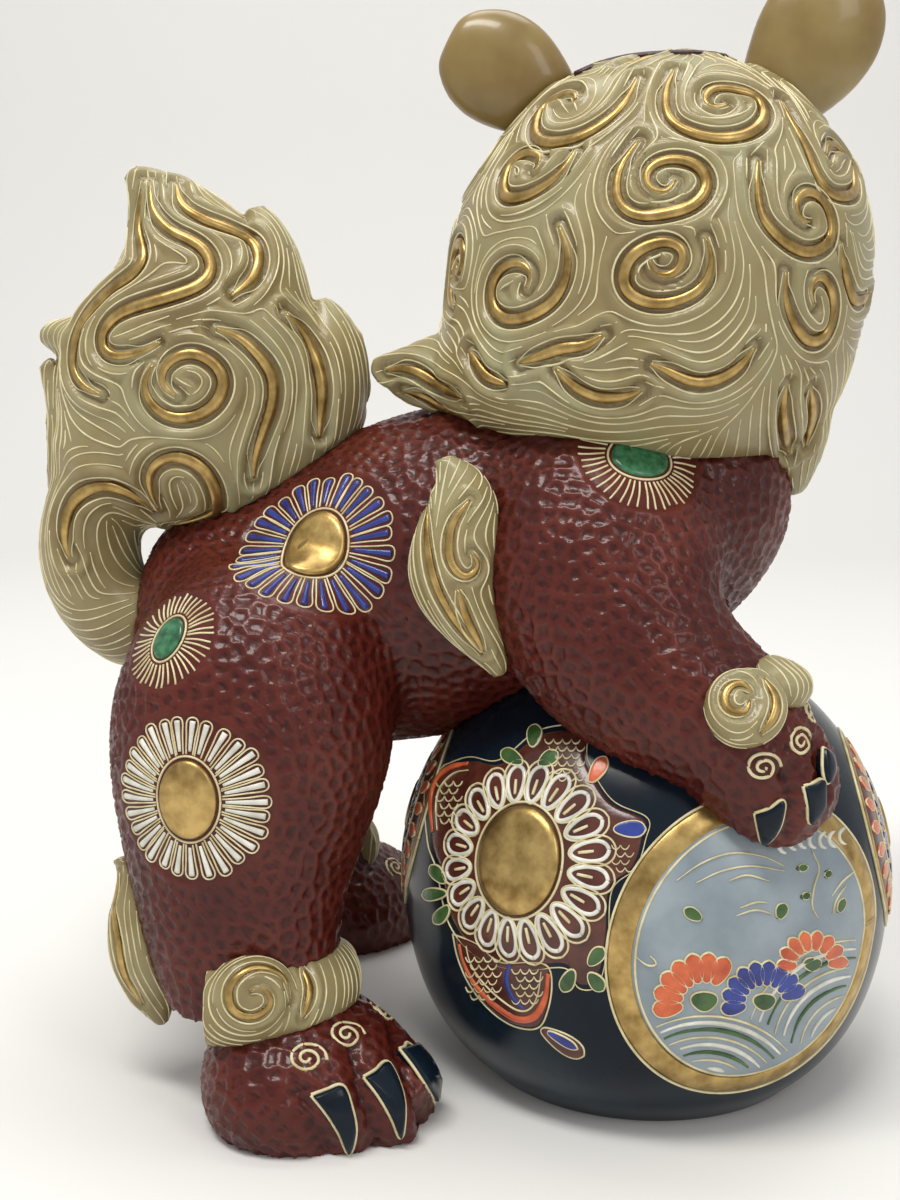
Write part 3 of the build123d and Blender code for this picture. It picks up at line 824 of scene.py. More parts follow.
MANE_BANDS = (
    ((386, 371), (402, 368), (420, 374), (440, 388), (462, 398)),
    ((404, 392), (424, 398), (446, 412), (470, 420)),
    ((638, 77), (625, 101), (603, 122), (575, 137), (547, 141), (534, 132), (539, 110), (556, 96), (573, 92),
     (575, 99)),
    ((675, 69), (666, 91), (669, 116), (688, 130), (719, 137), (750, 132), (766, 115), (758, 96), (734, 88),
     (712, 88), (705, 101), (716, 108), (728, 104)),
    ((575, 151), (556, 176), (528, 194), (506, 197), (502, 185), (509, 163), (525, 152), (541, 157),
     (534, 169)),
    ((638, 141), (622, 163), (616, 185), (620, 204), (638, 215), (666, 213), (694, 204), (708, 185),
     (700, 166), (678, 158), (656, 162), (645, 176), (653, 190), (669, 191), (675, 180)),
    ((758, 160), (758, 188), (763, 216), (781, 238), (806, 252), (828, 244), (833, 226), (825, 201),
     (809, 191), (797, 201), (800, 219), (812, 222)),
    ((781, 101), (797, 129), (809, 151), (819, 176), (834, 194), (853, 194), (856, 179), (847, 151),
     (831, 144), (827, 154)),
    ((706, 238), (712, 260), (706, 282), (688, 297), (659, 304), (634, 297), (623, 282), (628, 260),
     (644, 247), (666, 241), (683, 249), (681, 266), (669, 276), (653, 272), (650, 260)),
    ((559, 226), (567, 251), (566, 276), (553, 301), (528, 316), (506, 319), (492, 307), (491, 285),
     (501, 268), (519, 263), (531, 274), (526, 288)),
    ((786, 272), (786, 297), (794, 322), (809, 341), (825, 338), (834, 316), (833, 291), (822, 276),
     (811, 285), (814, 304)),
    ((841, 244), (847, 276), (856, 301), (872, 291), (873, 269)),
    ((755, 347), (741, 366), (719, 380), (694, 383), (669, 372), (650, 363)),
    ((603, 335), (584, 346), (562, 348), (537, 357), (519, 363)),
    ((556, 369), (575, 388), (600, 399), (628, 397), (641, 390)),
    ((469, 351), (484, 376), (506, 385)),
    ((787, 385), (784, 416), (789, 454)),
    ((811, 388), (814, 413), (806, 447)),
)
TAIL_BANDS = (
    ((144, 180), (139, 204), (137, 229), (142, 256), (133, 272), (112, 287), (93, 306), (80, 323), (73, 346),
     (72, 369), (83, 386), (100, 394)),
    ((150, 180), (152, 209), (169, 229), (192, 240), (207, 252), (211, 271), (198, 285), (169, 296),
     (141, 304), (117, 314), (102, 331), (102, 348), (115, 356), (140, 352), (161, 342)),
    ((176, 183), (182, 204), (204, 218), (231, 228), (252, 240), (259, 260), (252, 279), (231, 296)),
    ((216, 329), (239, 337), (260, 356), (273, 377), (273, 405), (264, 432), (256, 457), (254, 478)),
    ((287, 314), (306, 333), (317, 360), (323, 390), (321, 419), (320, 438)),
    ((153, 365), (144, 382), (150, 403), (169, 417), (195, 417), (216, 403), (224, 382), (216, 365),
     (197, 354), (178, 356), (163, 369), (163, 386), (176, 396)),
    ((159, 510), (150, 491), (150, 472), (165, 459), (186, 459), (205, 472), (216, 495), (214, 516),
     (197, 527), (174, 525)),
    ((155, 512), (129, 495), (102, 487), (79, 495), (66, 514), (64, 542), (70, 558)),
)


def volute(tree, centre, normal, inner_radius, growth, turns, hand, start):
    """A spiral laid on the surface round a centre."""
    normal = Vector(normal)
    side = normal.orthogonal().normalized()
    up = normal.cross(side)
    path = []
    for t in np.linspace(0, turns * 2 * math.pi, int(turns * 16)):
        radius = inner_radius * math.exp(growth * t)
        angle = start + hand * t
        path.append((Vector(centre) + radius * (math.cos(angle) * side + math.sin(angle) * up))[:])
    return laid(tree, rounded(path[::-1], HAIR_STEP))


def volutes_over(points, faces, tree, open_face, taken, radius):
    """Spirals spread over what earlier ones left free."""
    rng = random.Random(SEED + 3)
    inner_radius = 1.6
    turns = 1.55
    growth = math.log(radius / inner_radius) / (turns * 2 * math.pi)
    centre = points[faces].mean(1)
    order = np.nonzero(open_face)[0].tolist()
    rng.shuffle(order)
    made = []
    for face in order:
        spot = centre[face]
        if taken.near(spot, radius * VOLUTE_ROOM):
            continue
        taken.add(spot, 0)
        point, normal, index, far = tree.find_nearest(Vector(spot))
        made.append(volute(tree, point, normal, inner_radius, growth, turns,
                           rng.choice((-1, 1)), rng.uniform(0, 2 * math.pi)))
    return made


# Hair is hidden where it is less than so far above the skin; no skin is looked for further off.
HIDDEN_BELOW = 0.4
HIDDEN_REACH = 12
# Room round the volutes, as shares of their radius: to the gilt bands and from one to the next.
BAND_ROOM = 1.8
VOLUTE_ROOM = 1.75
# The strokes along both edges of a gilt band: place as a share of its half width, and room in mm.
EDGE_PLACE = 1.75
EDGE_ROOM = 0.3
# Across a gilt band: place, width and height of each swell or cut. Places and widths are shares of
# the band's half width, heights are shares of the groove's depth.
GROOVE_SHAPE = ((2.3, 0.75, 0.7), (1.1, 0.5, -0.8), (0.0, 0.8, 0.1))


def grooved(points, quads, gilt, band_half, groove):
    """The body of the hair with its gilt bands sunk between two swells."""
    near = point_tree([p for g in gilt for p in rounded(g[0][::3], 0.5)])
    gap = np.array([near.find(p)[2] for p in points.tolist()])
    lift = sum(high * np.exp(-((gap - place * band_half) / (wide * band_half)) ** 2)
               for place, wide, high in GROOVE_SHAPE)
    return points + vertex_normals(points, quads) * (groove * lift)[:, None]


def hair(name, nodes, bands, base_flow, spacing, band_half, groove, volute_radius=0, volute_low=0,
         blend=HAIR_BLEND, hidden_in=None, given=()):
    """A mass of hair: its body, the gilt grooves in it and the cream strokes over it.

    The bands are drawn on the photograph; the given ones are points in mm.
    """
    points, quads = skin(nodes, HAIR_VOXEL, blend, HAIR_GROW)
    smooth = tree_of(points, quads)
    centre = points[quads].mean(1)
    open_face = np.ones(len(quads), bool)
    if hidden_in:
        for i, c in enumerate(centre.tolist()):
            point, normal, face, far = hidden_in.find_nearest(Vector(c), HIDDEN_REACH)
            open_face[i] = point is None or (Vector(c) - point).dot(normal) >= HIDDEN_BELOW
    gilt = [photo_path(smooth, band) for band in bands] + [laid(smooth, g) for g in given]
    if volute_radius:
        taken = Claimed(volute_radius * BAND_ROOM)
        for g in gilt:
            for p in g[0][::4]:
                taken.add(p, 0)
        high = open_face & (centre[:, 2] > volute_low)
        gilt += volutes_over(points, quads, smooth, high, taken, volute_radius)
    if gilt:
        points = grooved(points, quads, gilt, band_half, groove)
    flow = flow_on_faces(points, quads, gilt, base_flow)
    tree = tree_of(points, quads)
    claimed = Claimed(spacing)
    runs, gold = [], []
    for run, g in enumerate(gilt):
        place, normal = eased(g[0], 3), unit(eased(g[1], 12))
        half = tapered(len(place), band_half, 0.2)
        gold.append((place, normal, half))
        side = unit(np.cross(np.gradient(place, axis=0), normal)) * (half * EDGE_PLACE + EDGE_ROOM)[:, None]
        edges = [laid(tree, eased(laid(smooth, place + hand * side)[0], 4)) for hand in (-1, 1)]
        runs += [(eased(edge, 2), ways) for edge, ways in edges]
        for p in (*edges[0][0], *edges[1][0], *place):
            claimed.add(p, run)
    runs += strokes_over(points, quads, tree, flow, open_face, claimed, spacing)
    piece(name, points, quads, KHAKI, nodes)
    if gold:
        ribbons(name + "_gilding", gold, GOLD, 0.35 * groove, sink=0.9 * groove, rounds=1)
    strokes = [(p, n, tapered(len(p), FINE_HALF, 0.6)) for p, n in runs if len(p) > 3]
    ribbons(name + "_strokes", strokes, CREAM, FINE_HEIGHT)
    return gilt


CROWN = np.array((67, -11, 345))
CROWN_LINE = ((576, 76), (600, 66), (628, 59), (657, 56), (690, 55), (715, 57), (740, 62))
TAIL_ROOT = np.array((-95, 0, 165))


def mane_flow(centre):
    away = centre - CROWN
    away[:, 2] -= 10
    return away


def tail_flow(centre):
    return centre - TAIL_ROOT


hair("mane_hair", ("mane",), MANE_BANDS, mane_flow, spacing=2.6, band_half=2.1, groove=1.7,
     volute_radius=14, volute_low=272, hidden_in=skin_tree)
hair("tail_hair", ("tail_loop", "tail_plume"), TAIL_BANDS, tail_flow, spacing=2.6, band_half=2.4, groove=1.8,
     volute_radius=15, volute_low=205, blend=8, hidden_in=skin_tree)

# A dark red line of glaze over the crown, between the ears.
crown_line = photo_path(tree_of(*node_arrays("mane")), CROWN_LINE)
ribbons("crown_line", [(*crown_line, 1.5)], RED, 1.6)

# The small masses of hair: the middle of the pair and the gilt bands as the photograph shows them.
SMALL_HAIR = {
    "flank_tuft": (FLANK_MIRROR_Y, (
        ((436, 470), (426, 520), (432, 575), (452, 618), (482, 655)),
        ((470, 500), (452, 525), (450, 560), (466, 578), (480, 565), (472, 553)),
        ((458, 590), (468, 622), (484, 652)),
    )),
    "heel_tuft": (HIND_MIRROR_Y, (
        ((118, 872), (113, 905), (117, 940), (124, 975), (142, 1005)),
    )),
    "ankle_cuff": (HIND_MIRROR_Y, (
        ((290, 1000), (284, 975), (255, 966), (230, 984), (232, 1010), (254, 1018), (272, 1004), (264, 988),
         (250, 992)),
        ((302, 966), (311, 990), (303, 1018)),
    )),
    "wrist_cuff": (FORE_MIRROR_Y, (
        ((764, 678), (777, 697), (774, 718), (761, 734)),
        ((752, 692), (742, 681), (728, 687), (724, 702), (734, 713), (748, 711), (750, 700)),
    )),
}
SMALL_STROKES = {"spacing": 2.3, "band_half": 1.5, "groove": 0.9}


def upward(centre):
    return np.tile((0.15, 0.1, 1.0), (len(centre), 1))


def outward(centre):
    ones = np.ones(len(centre))
    return np.stack([np.sign(centre[:, 0] - HEAD_X), -0.3 * ones, 0.2 * ones], 1)


for kind, (plane, bands) in SMALL_HAIR.items():
    right, left = kind + "_right", kind + "_left"
    gilt = hair(right + "_hair", (right,), bands, upward, hidden_in=skin_tree, **SMALL_STROKES)
    other = [mirror(g[0], plane) for g in gilt]
    hair(left + "_hair", (left,), (), upward, hidden_in=skin_tree, given=other, **SMALL_STROKES)
hair("beard_hair", ("beard",), (), upward, **SMALL_STROKES)
for side in ("right", "left"):
    hair(f"brow_{side}_hair", (f"brow_{side}",), (), outward, spacing=2.2, band_half=1.2, groove=0.8)


# Ball.

BALL_CENTRE = (63, -26, 65)
BALL_RADIUS = 84.5
BALL_SIDES = 240
FOOT_RADIUS = 58
FOOT_INSIDE = 51
FOOT_DEEP = 3
FOOT_EDGE = 0.6
FOOT_SHAPE = ((FOOT_RADIUS, FOOT_EDGE), (69, 12), (77.5, 27), (82.5, 45))
# The enamel: how thick it is, and half widths of its cream edges and lines.
PAINT = 0.45
EDGE_HALF = 0.32
FINE_EDGE_HALF = 0.26
LINE_HALF = 0.35
RIM_HALF = 0.45


def lathe(centre, profile, count):
    """A closed turned form from (radius, height) points."""
    turns = [2 * math.pi * k / count for k in range(count)]
    points = [(centre[0] + radius * math.cos(a), centre[1] + radius * math.sin(a), height)
              for radius, height in profile for a in turns]
    return np.array(points), ring_faces(len(profile), count)


def ball_profile(grow=0.0):
    """The hollow foot, the curve up to the waist and the round upper half."""
    rows = [(2, FOOT_DEEP), (FOOT_INSIDE, FOOT_DEEP), (FOOT_INSIDE, FOOT_EDGE), (FOOT_INSIDE + FOOT_EDGE, 0),
            (FOOT_RADIUS - FOOT_EDGE, 0)]
    low = rounded([*FOOT_SHAPE, (BALL_RADIUS, BALL_CENTRE[2])], 1.5)
    rows += [(r + grow, z) for r, z in low[:-1]]
    reach = BALL_RADIUS + grow
    rows += [(reach * math.cos(a), BALL_CENTRE[2] + reach * math.sin(a))
             for a in np.linspace(0, math.pi / 2 - 0.02, 80)]
    return rows


points, faces = lathe(BALL_CENTRE, ball_profile(), BALL_SIDES)
piece("ball_body", points, faces, NAVY, ("ball",))
ball_tree = BVHTree.FromPolygons(points.tolist(), faces)
points, faces = lathe(BALL_CENTRE, ball_profile(PAINT), BALL_SIDES)
paint_tree = BVHTree.FromPolygons(points.tolist(), faces)
ball_middle = np.array(BALL_CENTRE, float)

paints = {key: [] for key in ("ground", "orange", "blue", "green", "sky", "gold")}
lines = {key: [] for key in ("cream", "white", "green", "gold", "orange", "blue")}


def outlined(outline, colour, half=EDGE_HALF):
    """A cushion of colour with a cream stroke round it; the ground lies below the others."""
    tree = ball_tree if colour == "ground" else paint_tree
    paints[colour].append(photo_patch(tree, outline, PAINT))
    lines["cream"].append((*photo_path(tree, closed(outline), BALL_STEP), half))


def drawn(pixels, colour="cream", half=LINE_HALF):
    path, ways = photo_path(paint_tree, pixels, BALL_STEP)
    lines[colour].append((path, ways, tapered(len(path), half, 0.5)))


def petal_loop(near, far, wide, angle, count=12, swell=0.35):
    """A petal from near to far along a ray at an angle."""
    loop = []
    for t in np.linspace(0, 2 * math.pi, count, endpoint=False):
        along = (near + far) / 2 + (far - near) / 2 * math.cos(t)
        loop.append(turned(along, wide * math.sin(t) * (1 + swell * math.cos(t)), angle))
    return loop


def petal(x, y, degrees, far, wide, colour, near=0, half=EDGE_HALF):
    """A petal or leaf that grows from a pixel of the photograph."""
    loop = petal_loop(near, far, wide, math.radians(degrees))
    outlined([(x + u, y - v) for u, v in loop], colour, half)


def bloom(x, y, radius, colour, first, last, petals):
    """Part of a chrysanthemum that rises behind the waves."""
    for k in range(petals):
        degrees = first + (last - first) * k / (petals - 1)
        petal(x, y, degrees, radius, 0.17 * radius, colour, near=0.38 * radius)
    petal(x, y + 0.1 * radius, 90, 0.34 * radius, 0.26 * radius, "green", near=-0.05 * radius)


def on_ball(form):
    """A form on a sphere, moved out to the true surface of the ball."""
    points, rest = form
    moved = []
    for point in points:
        way = Vector(point - ball_middle)
        hit = ball_tree.ray_cast(Vector(ball_middle), way)[0]
        moved.append(ball_middle + np.array(way[:]) * ((hit - Vector(ball_middle)).length / BALL_RADIUS))
    return np.array(moved), rest


def ball_circle(way, angle):
    """A closed circle round a direction, on the surface of the ball."""
    points, normals = on_ball(sphere_circle(BALL_CENTRE, BALL_RADIUS + 0.25, way, angle, 160))
    return np.concatenate([points, points[:2]]), np.concatenate([normals, normals[:2]])


# The great flower: a gilt boss in a ring of looped petals, on a dark ground.
FLOWER_GROUND = (
    (445, 765), (470, 757), (500, 760), (540, 730), (585, 728), (588, 760), (612, 800), (648, 818),
    (646, 838), (636, 868), (612, 890), (608, 945), (598, 985), (578, 988), (566, 968), (520, 970),
    (480, 958), (450, 925), (437, 870), (428, 842), (426, 790),
)
FLOWER_SPOT = (516, 860)
PETALS = 20
# The loops of each petal: near, far, half width, colour, half width of the stroke.
PETAL_LOOPS = (
    (17.6, 32.0, 4.5, "cream", 0.36), (18.2, 30.0, 3.0, "white", 0.75), (20.0, 25.5, 0.1, "cream", 0.45),
)
outlined(FLOWER_GROUND, "ground", half=0.2)
flower = Plate(paint_tree, *FLOWER_SPOT)
for k in range(PETALS):
    for near, far, wide, colour, half in PETAL_LOOPS:
        loop = petal_loop(near, far, wide, 2 * math.pi * k / PETALS, count=13, swell=0.3)
        lines[colour].append((*flower.path(closed(loop)), half))
paints["gold"].append(plate_patch(flower, oval_outline(15.2, 17.6), 1.8))
lines["cream"].append((*flower.path(closed(oval_outline(15.8, 18.2))), RIM_HALF))

# Leaves, buds and wings round it. A petal is x, y, angle, length, half width.
LEAVES = (
    (532, 748, 80, 24, 7), (524, 764, 150, 26, 7), (538, 766, 35, 24, 7), (446, 884, 130, 24, 6),
    (448, 893, 185, 26, 6), (450, 905, 230, 24, 6), (588, 966, 50, 24, 7), (574, 968, 245, 26, 7),
    (588, 972, -50, 24, 7),
)
ORANGE_BUD = (589, 784, 58, 32, 7)
BLUE_BUD = (612, 829, 0, 34, 8)
WING_GROUND = (
    (453, 934), (478, 944), (500, 962), (530, 962), (548, 966), (552, 985), (548, 1010), (538, 1028),
    (514, 1026), (490, 1010), (470, 985), (458, 958),
)
TIP_GROUND = (540, 1028, -32, 52, 9)
TIP_BUD = (545, 1030, -30, 38, 4)
# Strokes of the wings: colour, half width and path.
WING_STROKES = (
    ("orange", 1.5, ((432, 832), (430, 800), (436, 779), (450, 767), (468, 763))),
    ("cream", LINE_HALF, ((437, 830), (436, 804), (441, 786), (454, 773), (468, 770))),
    ("orange", 1.5, ((459, 944), (463, 962), (475, 985), (494, 1005), (516, 1019), (534, 1017), (545, 998),
                     (548, 974))),
    ("cream", LINE_HALF, ((466, 946), (470, 962), (481, 980), (498, 997), (517, 1010), (530, 1009),
                          (538, 994), (541, 972))),
    ("blue", 1.3, ((510, 964), (506, 980), (512, 997), (524, 1009))),
)
# Fields of scales between them: low corner and high corner.
SCALES = (
    ((549, 740), (583, 778)), ((440, 782), (462, 826)), ((616, 846), (634, 872)), ((470, 958), (498, 996)),
    ((516, 970), (542, 1004)),
)
SCALE_WIDE = 9
SCALE_HIGH = 7.5
SCALE_HALF = 0.28
SCALE = ((-4.5, -1), (-3, 4), (0, 5), (3, 4), (4.5, -1))
for leaf in LEAVES:
    petal(*leaf, "green")
petal(*ORANGE_BUD, "orange")
petal(*BLUE_BUD, "blue")
outlined(WING_GROUND, "ground")
for colour, half, path in WING_STROKES:
    drawn(path, colour, half)
petal(*TIP_GROUND, "ground")
petal(*TIP_BUD, "blue")
for low, high in SCALES:
    for row, y in enumerate(np.arange(low[1], high[1], SCALE_HIGH)):
        for x in np.arange(low[0] + SCALE_WIDE / 2 * (row % 2), high[0], SCALE_WIDE):
            drawn([(x + u, y + v) for u, v in SCALE], half=SCALE_HALF)

# The round panel: a gilt ring through three pixels, a pale sky, blossoms and waves.
RING_PIXELS = ((608, 936), (712, 1092), (872, 935))
RING_HALF = 4.3
# Angles inside the edge of the panel: the middle of the ring, its inner edge and where the picture ends.
RING_MIDDLE = 0.05
RING_INNER = 0.105
PICTURE_EDGE = 0.115
one, two, three = (unit(np.array(seen_at(ball_tree, *spot)[:]) - ball_middle) for spot in RING_PIXELS)
panel_way = unit(np.cross(two - one, three - one))
panel_way *= np.sign(panel_way @ one)
panel_angle = math.acos(panel_way @ one)
paints["sky"].append(on_ball(cap(BALL_CENTRE, BALL_RADIUS, panel_way, panel_angle, PAINT)))
lines["gold"].append((*ball_circle(panel_way, panel_angle - RING_MIDDLE), RING_HALF))
for inwards in (0, RING_INNER):
    lines["cream"].append((*ball_circle(panel_way, panel_angle - inwards), RIM_HALF))


# Blossoms: middle, radius, colour, first angle, last angle, petals.
BLOOMS = ((704, 1004, 52, "orange", 186, 64, 7), (764, 1004, 44, "blue", 186, 22, 9),
          (812, 966, 36, "orange", 178, 8, 8))
# The waves: colours and half widths in turn, middles, squash, and where the front ones hide the back.
WATER = (("cream", 0.4), ("white", 0.95), ("green", 0.8))
FRONT_AT = (706, 1100)
FRONT_SQUASH = 0.84
FRONT_REACH = 104
FRONT_RADII = (100, 92, 84, 75, 66, 57, 48, 38, 28)
BACK_AT = (858, 1052)
BACK_RADII = range(112, 39, -9)
WIND = (
    ((696, 883), (722, 871), (752, 866), (784, 871)),
    ((676, 881), (702, 863), (732, 853), (762, 856), (784, 866)),
    ((729, 881), (747, 875), (769, 881)), ((736, 916), (755, 910), (772, 914)),
    ((740, 908), (757, 902), (768, 903)), ((812, 851), (819, 868), (814, 886), (812, 906), (818, 918)),
    ((855, 871), (842, 882), (832, 896)), ((846, 886), (836, 900), (833, 914)),
    ((636, 957), (648, 966), (658, 964), (650, 956)),
)
# Flecks of foam in a row, and the stroke that each one is.
FOAM_COUNT = 7
FOAM_AT = (779, 846)
FOAM_STEP = (10, -1.6)
FOAM_SWING = 2
FOAM = ((6, -9), (0, -4), (1, 5), (7, 7))
PANEL_LEAVES = (
    (796, 869, 10, 12, 4), (825, 879, 60, 10, 4), (800, 898, 20, 11, 4), (778, 920, 70, 18, 6),
    (838, 914, 70, 17, 4), (703, 920, 150, 22, 6),
)


def in_panel(x, y):
    hit = seen_at(ball_tree, x, y)
    if hit is None:
        return False
    return unit(np.array(hit[:]) - ball_middle) @ panel_way > math.cos(panel_angle - PICTURE_EDGE)


def waves(x, y, radii, first, last, squash, hidden=False):
    """Nested arcs of water, cut off by the ring and, where hidden, by the waves in front."""
    for k, radius in enumerate(radii):
        arc = []
        for a in np.linspace(math.radians(first), math.radians(last), 26):
            across, down = x + radius * math.cos(a), y - squash * radius * math.sin(a)
            away = math.hypot(across - FRONT_AT[0], (down - FRONT_AT[1]) / FRONT_SQUASH)
            if (not hidden or away > FRONT_REACH) and in_panel(across, down):
                arc.append((across, down))
        if len(arc) > 4:
            drawn(arc, *WATER[k % 3])


for row in BLOOMS:
    bloom(*row)
waves(*FRONT_AT, FRONT_RADII, 165, 4, FRONT_SQUASH)
waves(*BACK_AT, BACK_RADII, 172, 60, 1.0, hidden=True)
for pixels in WIND:
    drawn(pixels, half=EDGE_HALF)
for k in range(FOAM_COUNT):
    x = FOAM_AT[0] + FOAM_STEP[0] * k
    y = FOAM_AT[1] + FOAM_STEP[1] * k - FOAM_SWING * math.sin(k)
    drawn([(x + u, y + v) for u, v in FOAM], *WATER[1])
for leaf in PANEL_LEAVES:
    petal(*leaf, "green", half=FINE_EDGE_HALF)

# The brocade roundel at the side of the ball.
BROCADE_TURN = math.radians(62)
BROCADE_RISE = 0.25
BROCADE_ANGLE = 0.40
BOSS_SHARE = 0.27
brocade_way = turned_about([panel_way], (0, 0), BROCADE_TURN)[0] + (0, 0, BROCADE_RISE)
way, first, second = side_ways(brocade_way)


def brocade_petal(near, far, turn, swing, colour):
    """A cushion with a cream edge, between two circles of the roundel."""
    ways = []
    for t in np.linspace(0, 2 * math.pi, 12, endpoint=False):
        bend = BROCADE_ANGLE * ((near + far) / 2 + (far - near) / 2 * math.cos(t))
        across, up = turned(math.sin(bend), 0, turn + swing * math.sin(t))
        ways.append(math.cos(bend) * way + across * first + up * second)
    middle = np.mean(ways, axis=0)
    rings = [unit(middle + (ways - middle) * share) for share in LEVELS]
    spheres = [ball_middle + (BALL_RADIUS + PAINT) * ring for ring in rings]
    paints[colour].append(domed(spheres, rings, PAINT))
    lines["cream"].append((np.array(closed(spheres[0])), np.array(closed(rings[0])), SCALE_HALF))


# Circles: share of the roundel's angle, half width, colour. Bands: near, far, petals, swing, colour.
BROCADE_CIRCLES = ((1.0, 1.6, "gold"), (1.05, 0.4, "cream"), (0.62, 0.35, "cream"), (0.30, 0.35, "cream"))
BROCADE_BANDS = ((0.66, 0.93, 22, 0.09, "orange"), (0.34, 0.6, 16, 0.144, "blue"))
paints["ground"].append(on_ball(cap(BALL_CENTRE, BALL_RADIUS, brocade_way, BROCADE_ANGLE, PAINT)))
for share, half, colour in BROCADE_CIRCLES:
    lines[colour].append((*ball_circle(brocade_way, BROCADE_ANGLE * share), half))
for near, far, count, swing, colour in BROCADE_BANDS:
    for k in range(count):
        brocade_petal(near, far, 2 * math.pi * k / count, swing, colour)
paints["gold"].append(cap(BALL_CENTRE, BALL_RADIUS + PAINT, brocade_way, BROCADE_ANGLE * BOSS_SHARE, 1.0))

# The same decoration again on the far side.
PAINT_LOOKS = {
    "ground": GROUND, "orange": ORANGE, "blue": BLUE, "green": LEAF, "sky": SKY, "gold": GOLD, "white": WHITE,
    "cream": CREAM,
}
for colour, forms in paints.items():
    again = [(turned_about(points, BALL_CENTRE, math.pi), faces) for points, faces in forms]
    joined(f"ball_{colour}_enamel", forms + again, PAINT_LOOKS[colour])
for colour, runs in lines.items():
    again = [(turned_about(path, BALL_CENTRE, math.pi), turned_about(ways, (0, 0), math.pi), half)
             for path, ways, half in runs]
    ribbons(f"ball_{colour}_strokes", runs + again, PAINT_LOOKS[colour], PAINT)


# Face.

# Name, look, rounds of smoothing and whether it has the cell pattern.
FACE_FORMS = (
    ("ear_right", HONEY, 30, False), ("ear_left", HONEY, 30, False), ("face_mask", RED, 2, True),
    ("lower_jaw", RED, 2, True), ("nose", RED, 12, False),
)
FACE_CELL_RIM = 0.75
PLAIN_NODES = {
    "tongue": VERMILION, "upper_teeth": WHITE, "lower_teeth": WHITE, "eye_right": WHITE, "eye_left": WHITE,
}
for name, look, rounds, pebbled in FACE_FORMS:
    points, quads = skin((name,), FACE_VOXEL, FACE_BLEND, FACE_GROW)
    points = relaxed(points, quads, rounds)
    if pebbled:
        border = cell_net(points, CELL, SEED + 1)
        relief = CELL_EDGE * np.exp(-(border / FACE_CELL_RIM) ** 2) - CELL_FLOOR
        points = points + vertex_normals(points, quads) * relief[:, None]
    piece(name + "_form", points, quads, look, (name,))
for name, look in PLAIN_NODES.items():
    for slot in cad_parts[name].material_slots:
        slot.material = look[0]

EYE_SPREAD = 27
EYE_AT = (60, 295)
EYE_RADIUS = 12.5
IRIS_ANGLE = 0.62
PUPIL_ANGLE = 0.33
IRIS_HEIGHT = 0.5
PUPIL_OUT = 0.4
LOOK_OUT = 0.12
LID_LINES = (15.5, 18.5)
# Gilt lines of the cheeks: start below the eye and reach.
CHEEK_LINES = ((-22, 20), (-27, 24), (-32, 22))
face_tree = tree_of(*node_arrays("face_mask"))
irises, pupils, gilt_face = [], [], []
for hand in (-1, 1):
    centre = (HEAD_X + hand * EYE_SPREAD, *EYE_AT)
    gaze = (hand * LOOK_OUT, 1, -LOOK_OUT)
    irises.append(cap(centre, EYE_RADIUS, gaze, IRIS_ANGLE, IRIS_HEIGHT))
    pupils.append(cap(centre, EYE_RADIUS + PUPIL_OUT, gaze, PUPIL_ANGLE, IRIS_HEIGHT))
    for far in LID_LINES:
        ring = [np.add(centre, (far * math.cos(a), 6, far * math.sin(a))) for a in np.linspace(3.5, 6.0, 24)]
        gilt_face.append((*laid(face_tree, ring), 0.7))
    for drop, reach in CHEEK_LINES:
        cheek = [np.add(centre, (hand * (3 + reach * t), 4 - 8 * t, drop + 10 * t * t))
                 for t in np.linspace(0, 1, 16)]
        gilt_face.append((*laid(face_tree, cheek), tapered(16, 0.8)))
joined("eye_irises", irises, GOLD)
ribbons("face_gilding", gilt_face, GOLD, 0.6)
joined("eye_pupils", pupils, NAVY)


# Room, lights, camera.

# The floor bends up into a wall; its sizes are in metres.
DEPTH = 1.6
REACH = 3.0
CURVE = 0.5
WALL_TOP = 3.5
FLOOR_COLOUR = (0.80, 0.79, 0.77, 1)
ROOM_COLOUR = (0.985, 0.985, 0.99, 1)
ROOM_STRENGTH = 0.62
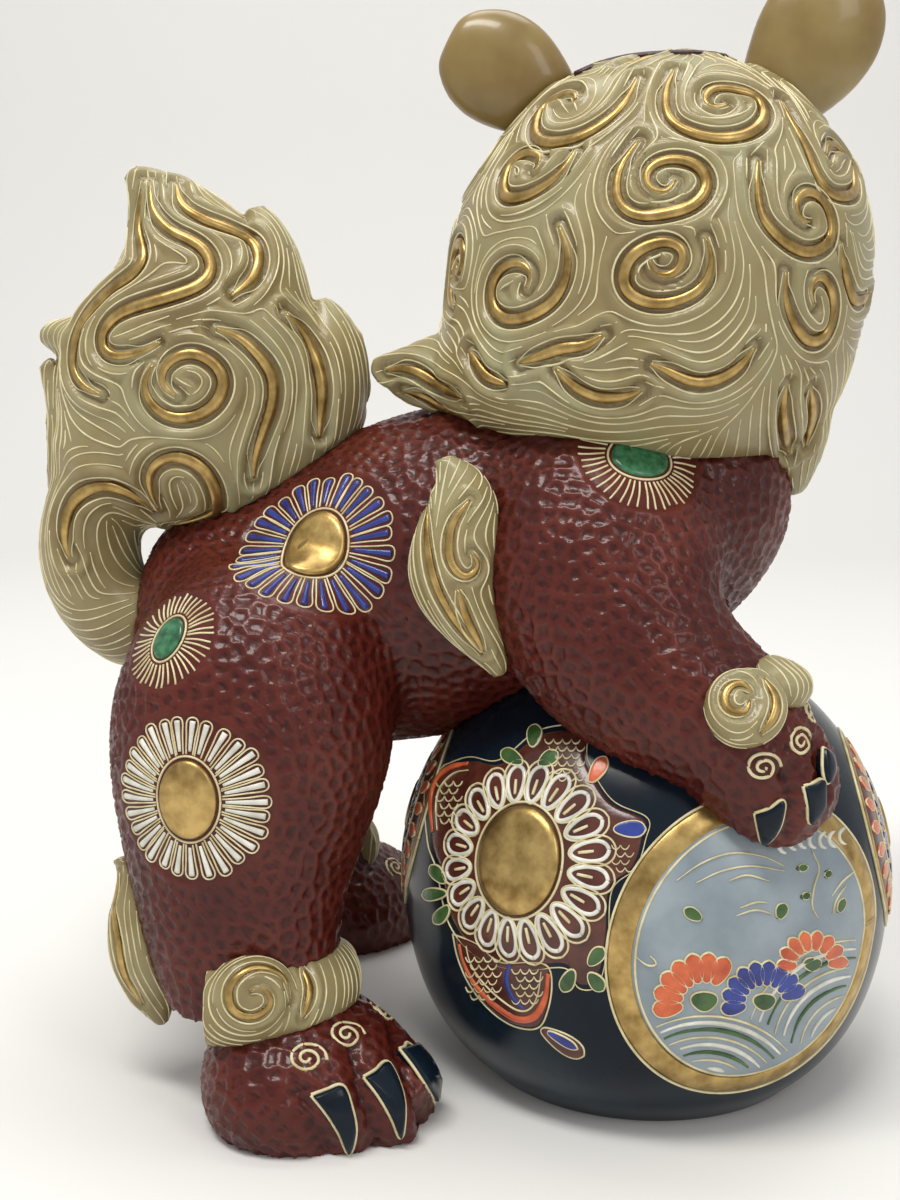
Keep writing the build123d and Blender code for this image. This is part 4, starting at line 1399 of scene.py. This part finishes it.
# Lamps: name, place, aim, size, power, colour.
LAMPS = (
    ("key", (-0.35, -0.55, 1.6), (0, 0, 0.15), (0.9, 0.3), 15, (1, 0.98, 0.94)),
    ("fill", (1.0, -1.3, 1.3), (0, 0, 0.15), (0.5, 0.9), 5, (1, 0.98, 0.95)),
    ("top", (0.1, 0.45, 1.7), (0, 0, 0.1), (1.2, 0.8), 11, (1, 0.99, 0.97)),
)
paper, nodes, links, shader = new_material("floor_paper")
for socket, value in (("Base Color", FLOOR_COLOUR), ("Roughness", 0.85), ("Specular IOR Level", 0.2)):
    shader.inputs[socket].default_value = value
floor_mesh = bpy.data.meshes.new("floor")
rows = [(-REACH, 0.0), (DEPTH - CURVE, 0.0)]
rows += [(DEPTH - CURVE + CURVE * math.sin(a), CURVE - CURVE * math.cos(a))
         for a in np.linspace(0.1, math.pi / 2, 14)]
rows += [(DEPTH, WALL_TOP)]
floor_points = [(x, y, z) for y, z in rows for x in (-REACH, REACH)]
floor_faces = [(2 * i, 2 * i + 1, 2 * i + 3, 2 * i + 2) for i in range(len(rows) - 1)]
floor_mesh.from_pydata(floor_points, [], floor_faces)
floor_mesh.polygons.foreach_set("use_smooth", [True] * len(floor_mesh.polygons))
floor_mesh.materials.append(paper)
floor = bpy.data.objects.new("floor", floor_mesh)
bpy.context.scene.collection.objects.link(floor)

for name, place, aim, size, power, colour in LAMPS:
    data = bpy.data.lights.new(name, "AREA")
    data.shape = "RECTANGLE"
    data.size, data.size_y = size
    data.energy = power
    data.color = colour
    lamp = bpy.data.objects.new(name, data)
    lamp.location = place
    lamp.rotation_euler = (Vector(aim) - Vector(place)).to_track_quat("-Z", "Y").to_euler()
    bpy.context.scene.collection.objects.link(lamp)
world = bpy.data.worlds.new("room")
bpy.context.scene.world = world
world.use_nodes = True
background = world.node_tree.nodes["Background"]
background.inputs["Color"].default_value = ROOM_COLOUR
background.inputs["Strength"].default_value = ROOM_STRENGTH

camera_data = bpy.data.cameras.new("camera")
camera_data.sensor_fit = "VERTICAL"
camera_data.sensor_height = SENSOR
camera_data.lens = SENSOR * FOCAL_PIXELS / PHOTO_HEIGHT
camera = bpy.data.objects.new("camera", camera_data)
camera.location = CAMERA_AT * MM
camera.rotation_euler = (CAMERA_TILT, 0, 0)
bpy.context.scene.collection.objects.link(camera)
bpy.context.scene.camera = camera
bpy.context.scene.view_settings.view_transform = "Standard"

bpy.context.view_layer.update()
